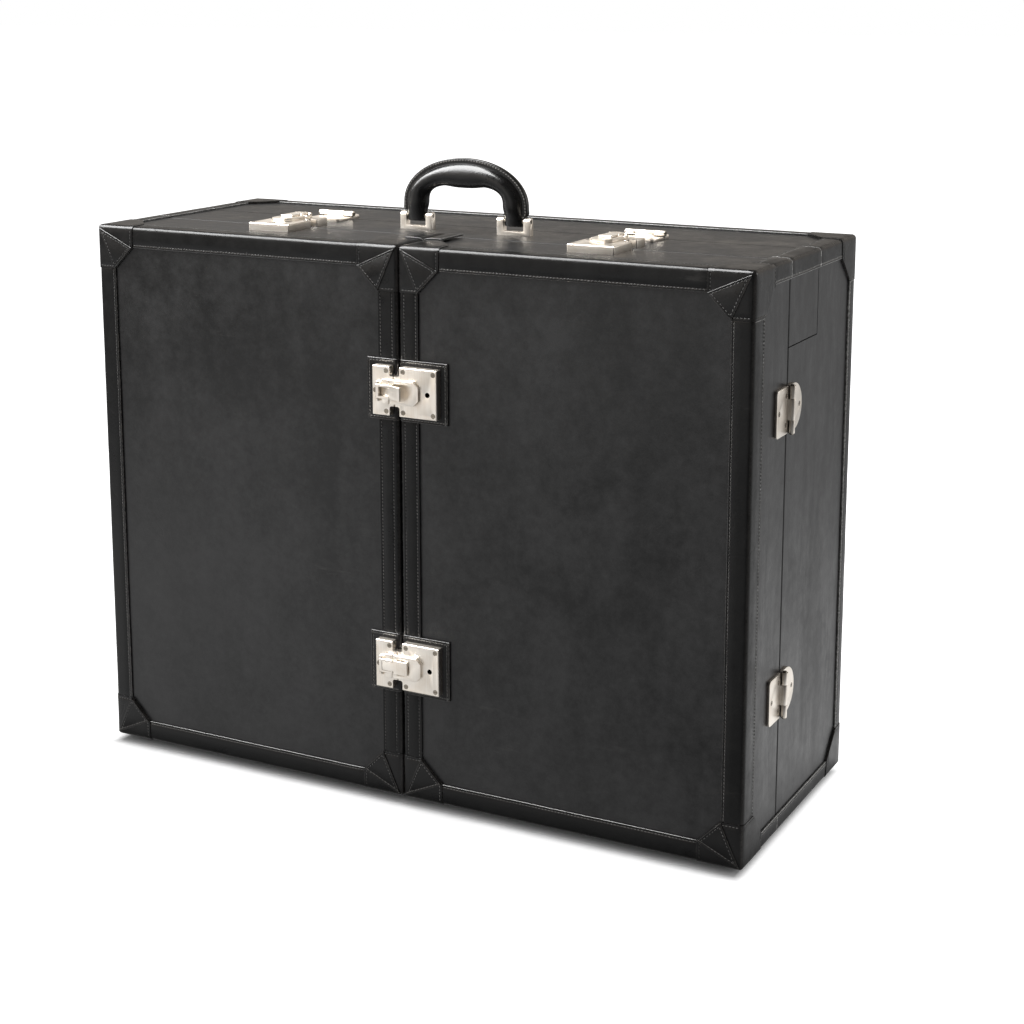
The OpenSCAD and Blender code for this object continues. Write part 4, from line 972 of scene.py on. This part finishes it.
def floor_material():
    """Matt white studio paper. For the camera it is lifted to white a few centimetres from the
    closed case, so that the shadow close to it stays; the unlifted band along the closed case's
    footprint stays darker in every pose, a painted shade over the real shadow. Reflections see it
    bright to the left and behind, darker in front to the right, where the room is, darkest in a
    patch painted dark where the camera's tripod would be, and dim right beside the case, a painted
    shadow."""
    material, tree, shader = new_material("studio_paper")
    tree.nodes.remove(shader)
    coords = add(tree, "ShaderNodeTexCoord")
    parts = add(tree, "ShaderNodeSeparateXYZ", {0: coords.outputs["Object"]})
    paper = add(tree, "ShaderNodeBsdfDiffuse", {"Color": (0.9, 0.9, 0.9, 1)})

    # Distance beyond the sides of the closed case
    beyond = []
    for axis, half in ((0, CASE_W / 2 * MM), (1, CASE_D / 2 * MM)):
        size = add(tree, "ShaderNodeMath", {0: parts.outputs[axis]}, operation="ABSOLUTE")
        beyond.append(add(tree, "ShaderNodeMath", {0: size.outputs[0], 1: half},
                          operation="SUBTRACT"))
    far = add(tree, "ShaderNodeMath", {0: beyond[0].outputs[0], 1: beyond[1].outputs[0]},
              operation="MAXIMUM")

    # For the camera: lifted to white away from the case, and left unlifted near the closed case's
    # footprint, a painted shade band that stays in every pose
    reach = add(tree, "ShaderNodeMapRange", {
        0: far.outputs[0], 1: -0.008, 2: 0.034, 3: 0.0, 4: 1.0})
    lift = ramp(tree, reach.outputs[0], [(0.0, 0.0), (0.24, 0.6), (1.0, 0.92)])
    white = add(tree, "ShaderNodeEmission", {
        "Color": (1, 1, 1, 1), "Strength": lift.outputs[0]})
    seen = add(tree, "ShaderNodeAddShader", {0: paper.outputs[0], 1: white.outputs[0]})

    # For reflections: ahead of the case
    front = add(tree, "ShaderNodeMapRange", {0: parts.outputs[0], 1: -0.7, 2: 0.5, 3: 1.2, 4: 0.12})
    left = add(tree, "ShaderNodeMapRange", {0: parts.outputs[0], 1: -2.2, 2: -0.8, 3: 0.25, 4: 1.0})
    # A patch painted dark in reflections where the camera's tripod would be: painted shade
    from_stand_patch = add(tree, "ShaderNodeVectorMath", {
        0: coords.outputs["Object"], 1: (-0.4, -1.3, 0.0)}, operation="DISTANCE")
    painted_stand_shade = add(tree, "ShaderNodeMapRange", {
        0: from_stand_patch.outputs["Value"], 1: 0.0, 2: 0.75, 3: 0.2, 4: 1.0},
        interpolation_type="SMOOTHSTEP")
    open_part = add(tree, "ShaderNodeMath", {0: front.outputs[0], 1: left.outputs[0]},
                    operation="MULTIPLY")
    ahead = add(tree, "ShaderNodeMath", {0: open_part.outputs[0], 1: painted_stand_shade.outputs[0]},
                operation="MULTIPLY")

    # For reflections: behind it, and a painted shadow right beside it
    rear = add(tree, "ShaderNodeMapRange", {0: far.outputs[0], 1: 0.2, 2: 1.3, 3: 1.02, 4: 0.52})
    behind = add(tree, "ShaderNodeMapRange", {
        0: parts.outputs[1], 1: -0.35, 2: 0.1, 3: 0.0, 4: 1.0}, interpolation_type="SMOOTHSTEP")
    around = add(tree, "ShaderNodeMix", {
        0: behind.outputs[0], 2: ahead.outputs[0], 3: rear.outputs[0]})
    # Painted shadow: reflections of the floor dim close to the case, where its shadow would fall
    painted_shadow_beside = add(tree, "ShaderNodeMapRange", {
        0: far.outputs[0], 1: 0.0, 2: 0.04, 3: 0.25, 4: 1.0}, interpolation_type="SMOOTHSTEP")
    strength = add(tree, "ShaderNodeMath", {0: around.outputs[0], 1: painted_shadow_beside.outputs[0]},
                   operation="MULTIPLY")
    mirrored = add(tree, "ShaderNodeEmission", {
        "Color": (1, 1, 1, 1), "Strength": strength.outputs[0]})

    path = add(tree, "ShaderNodeLightPath")
    clear = add(tree, "ShaderNodeMath", {
        0: path.outputs["Is Camera Ray"], 1: path.outputs["Is Transmission Ray"]},
        operation="MAXIMUM")
    first = add(tree, "ShaderNodeMixShader", {
        0: clear.outputs[0], 1: paper.outputs[0], 2: seen.outputs[0]})
    whole = add(tree, "ShaderNodeMixShader", {
        0: path.outputs["Is Glossy Ray"], 1: first.outputs[0], 2: mirrored.outputs[0]})
    tree.links.new(whole.outputs[0], tree.nodes["Material Output"].inputs["Surface"])
    return material


def make_floor():
    shape = bmesh.new()
    bmesh.ops.create_grid(shape, x_segments=1, y_segments=1, size=30)
    mesh = bpy.data.meshes.new("studio_floor")
    shape.to_mesh(mesh)
    shape.free()
    mesh.materials.append(floor_material())
    floor = bpy.data.objects.new("studio_floor", mesh)
    bpy.context.scene.collection.objects.link(floor)


def make_world():
    """White for the camera, and an even light. Reflections see a pale backdrop low behind the case,
    a pale screen to the front left and a dim room elsewhere, all a little warm."""
    world = bpy.data.worlds.new("studio")
    bpy.context.scene.world = world
    world.use_nodes = True
    tree = world.node_tree
    coords = add(tree, "ShaderNodeTexCoord")
    parts = add(tree, "ShaderNodeSeparateXYZ", {0: coords.outputs["Generated"]})

    # The backdrop, on the dim room
    behind = add(tree, "ShaderNodeMapRange", {0: parts.outputs[1], 1: -0.1, 2: 0.4, 3: 0.0, 4: 1.0})
    low = add(tree, "ShaderNodeMapRange", {0: parts.outputs[2], 1: 0.3, 2: 0.6, 3: 0.45, 4: 0.0})
    backdrop = add(tree, "ShaderNodeMath", {0: behind.outputs[0], 1: low.outputs[0], 2: 0.05},
                   operation="MULTIPLY_ADD")

    # The screen
    left = add(tree, "ShaderNodeMapRange", {0: parts.outputs[0], 1: 0.0, 2: -0.35, 3: 0.0, 4: 1.0})
    ahead = add(tree, "ShaderNodeMapRange", {
        0: parts.outputs[1], 1: -0.3, 2: -0.6, 3: 0.0, 4: 0.95})
    level = add(tree, "ShaderNodeMapRange", {0: parts.outputs[2], 1: 0.42, 2: 0.6, 3: 1.0, 4: 0.0})
    side = add(tree, "ShaderNodeMath", {0: left.outputs[0], 1: ahead.outputs[0]},
               operation="MULTIPLY")
    screen = add(tree, "ShaderNodeMath", {
        0: side.outputs[0], 1: level.outputs[0], 2: backdrop.outputs[0]},
        operation="MULTIPLY_ADD")

    path = add(tree, "ShaderNodeLightPath")
    clear = add(tree, "ShaderNodeMath", {
        0: path.outputs["Is Camera Ray"], 1: path.outputs["Is Transmission Ray"]},
        operation="MAXIMUM")
    even = add(tree, "ShaderNodeMix", {0: clear.outputs[0], 2: 0.5, 3: 1.0})
    strength = add(tree, "ShaderNodeMix", {
        0: path.outputs["Is Glossy Ray"], 2: even.outputs[0], 3: screen.outputs[0]})
    tint = add(tree, "ShaderNodeMix", {
        0: path.outputs["Is Glossy Ray"], 6: (1, 1, 1, 1), 7: linear("#fff6ec")},
        data_type="RGBA")
    background = tree.nodes["Background"]
    tree.links.new(tint.outputs[2], background.inputs["Color"])
    tree.links.new(strength.outputs[0], background.inputs["Strength"])


def soft_lamp(name, place, aim, width, height, power, lights=True, mirrored=True):
    """A soft box, or a scrim that only shows in reflections."""
    data = bpy.data.lights.new(name, "AREA")
    data.shape = "RECTANGLE"
    data.size, data.size_y, data.energy = width, height, power
    lamp = bpy.data.objects.new(name, data)
    lamp.location = place
    lamp.rotation_euler = (Vector(aim) - Vector(place)).to_track_quat("-Z", "Y").to_euler()
    lamp.visible_diffuse = lights
    lamp.visible_glossy = mirrored
    bpy.context.scene.collection.objects.link(lamp)


make_floor()
make_world()
soft_lamp("overhead_softbox", (0.1, 0.4, 2.6), (0, 0.05, 0), width=2.4, height=2.4, power=26,
          mirrored=False)
soft_lamp("rear_right_softbox", (2.4, 1.6, 1.3), (0.2, 0, 0.3), width=1.0, height=1.4, power=14)
soft_lamp("overhead_scrim", (-0.95, -0.6, 2.25), (0, -0.1, 0.5), width=1.6, height=2.0,
          power=190, lights=False)
soft_lamp("left_scrim", (-2.1, -0.5, 1.5), (0, -0.1, 0.4), width=0.9, height=0.9, power=30,
          lights=False)

# Camera, fitted to the corners of the case in the photograph: the frame and the focal length in
# pixels, the shift, the direction in degrees, and the place in heights of the case
FRAME_PX, FOCAL_PX, SENSOR = 1024, 1911.7, 36
SHIFT, AZIMUTH, ELEVATION = -0.158, math.radians(27.54), math.radians(10.75)
PLACE = Vector((1.6691, -2.7767, 1.4327))

camera_data = bpy.data.cameras.new("camera")
camera_data.lens = FOCAL_PX / FRAME_PX * SENSOR
camera_data.sensor_width = SENSOR
camera_data.shift_y = SHIFT
camera = bpy.data.objects.new("camera", camera_data)
back = Vector((math.sin(AZIMUTH) * math.cos(ELEVATION),
               -math.cos(AZIMUTH) * math.cos(ELEVATION), math.sin(ELEVATION)))
camera.location = CASE_IN_ROW @ (PLACE * CASE_H)
camera.rotation_euler = (-back).to_track_quat("-Z", "Y").to_euler()
bpy.context.scene.collection.objects.link(camera)
bpy.context.scene.camera = camera
bpy.context.scene.view_settings.view_transform = "Standard"
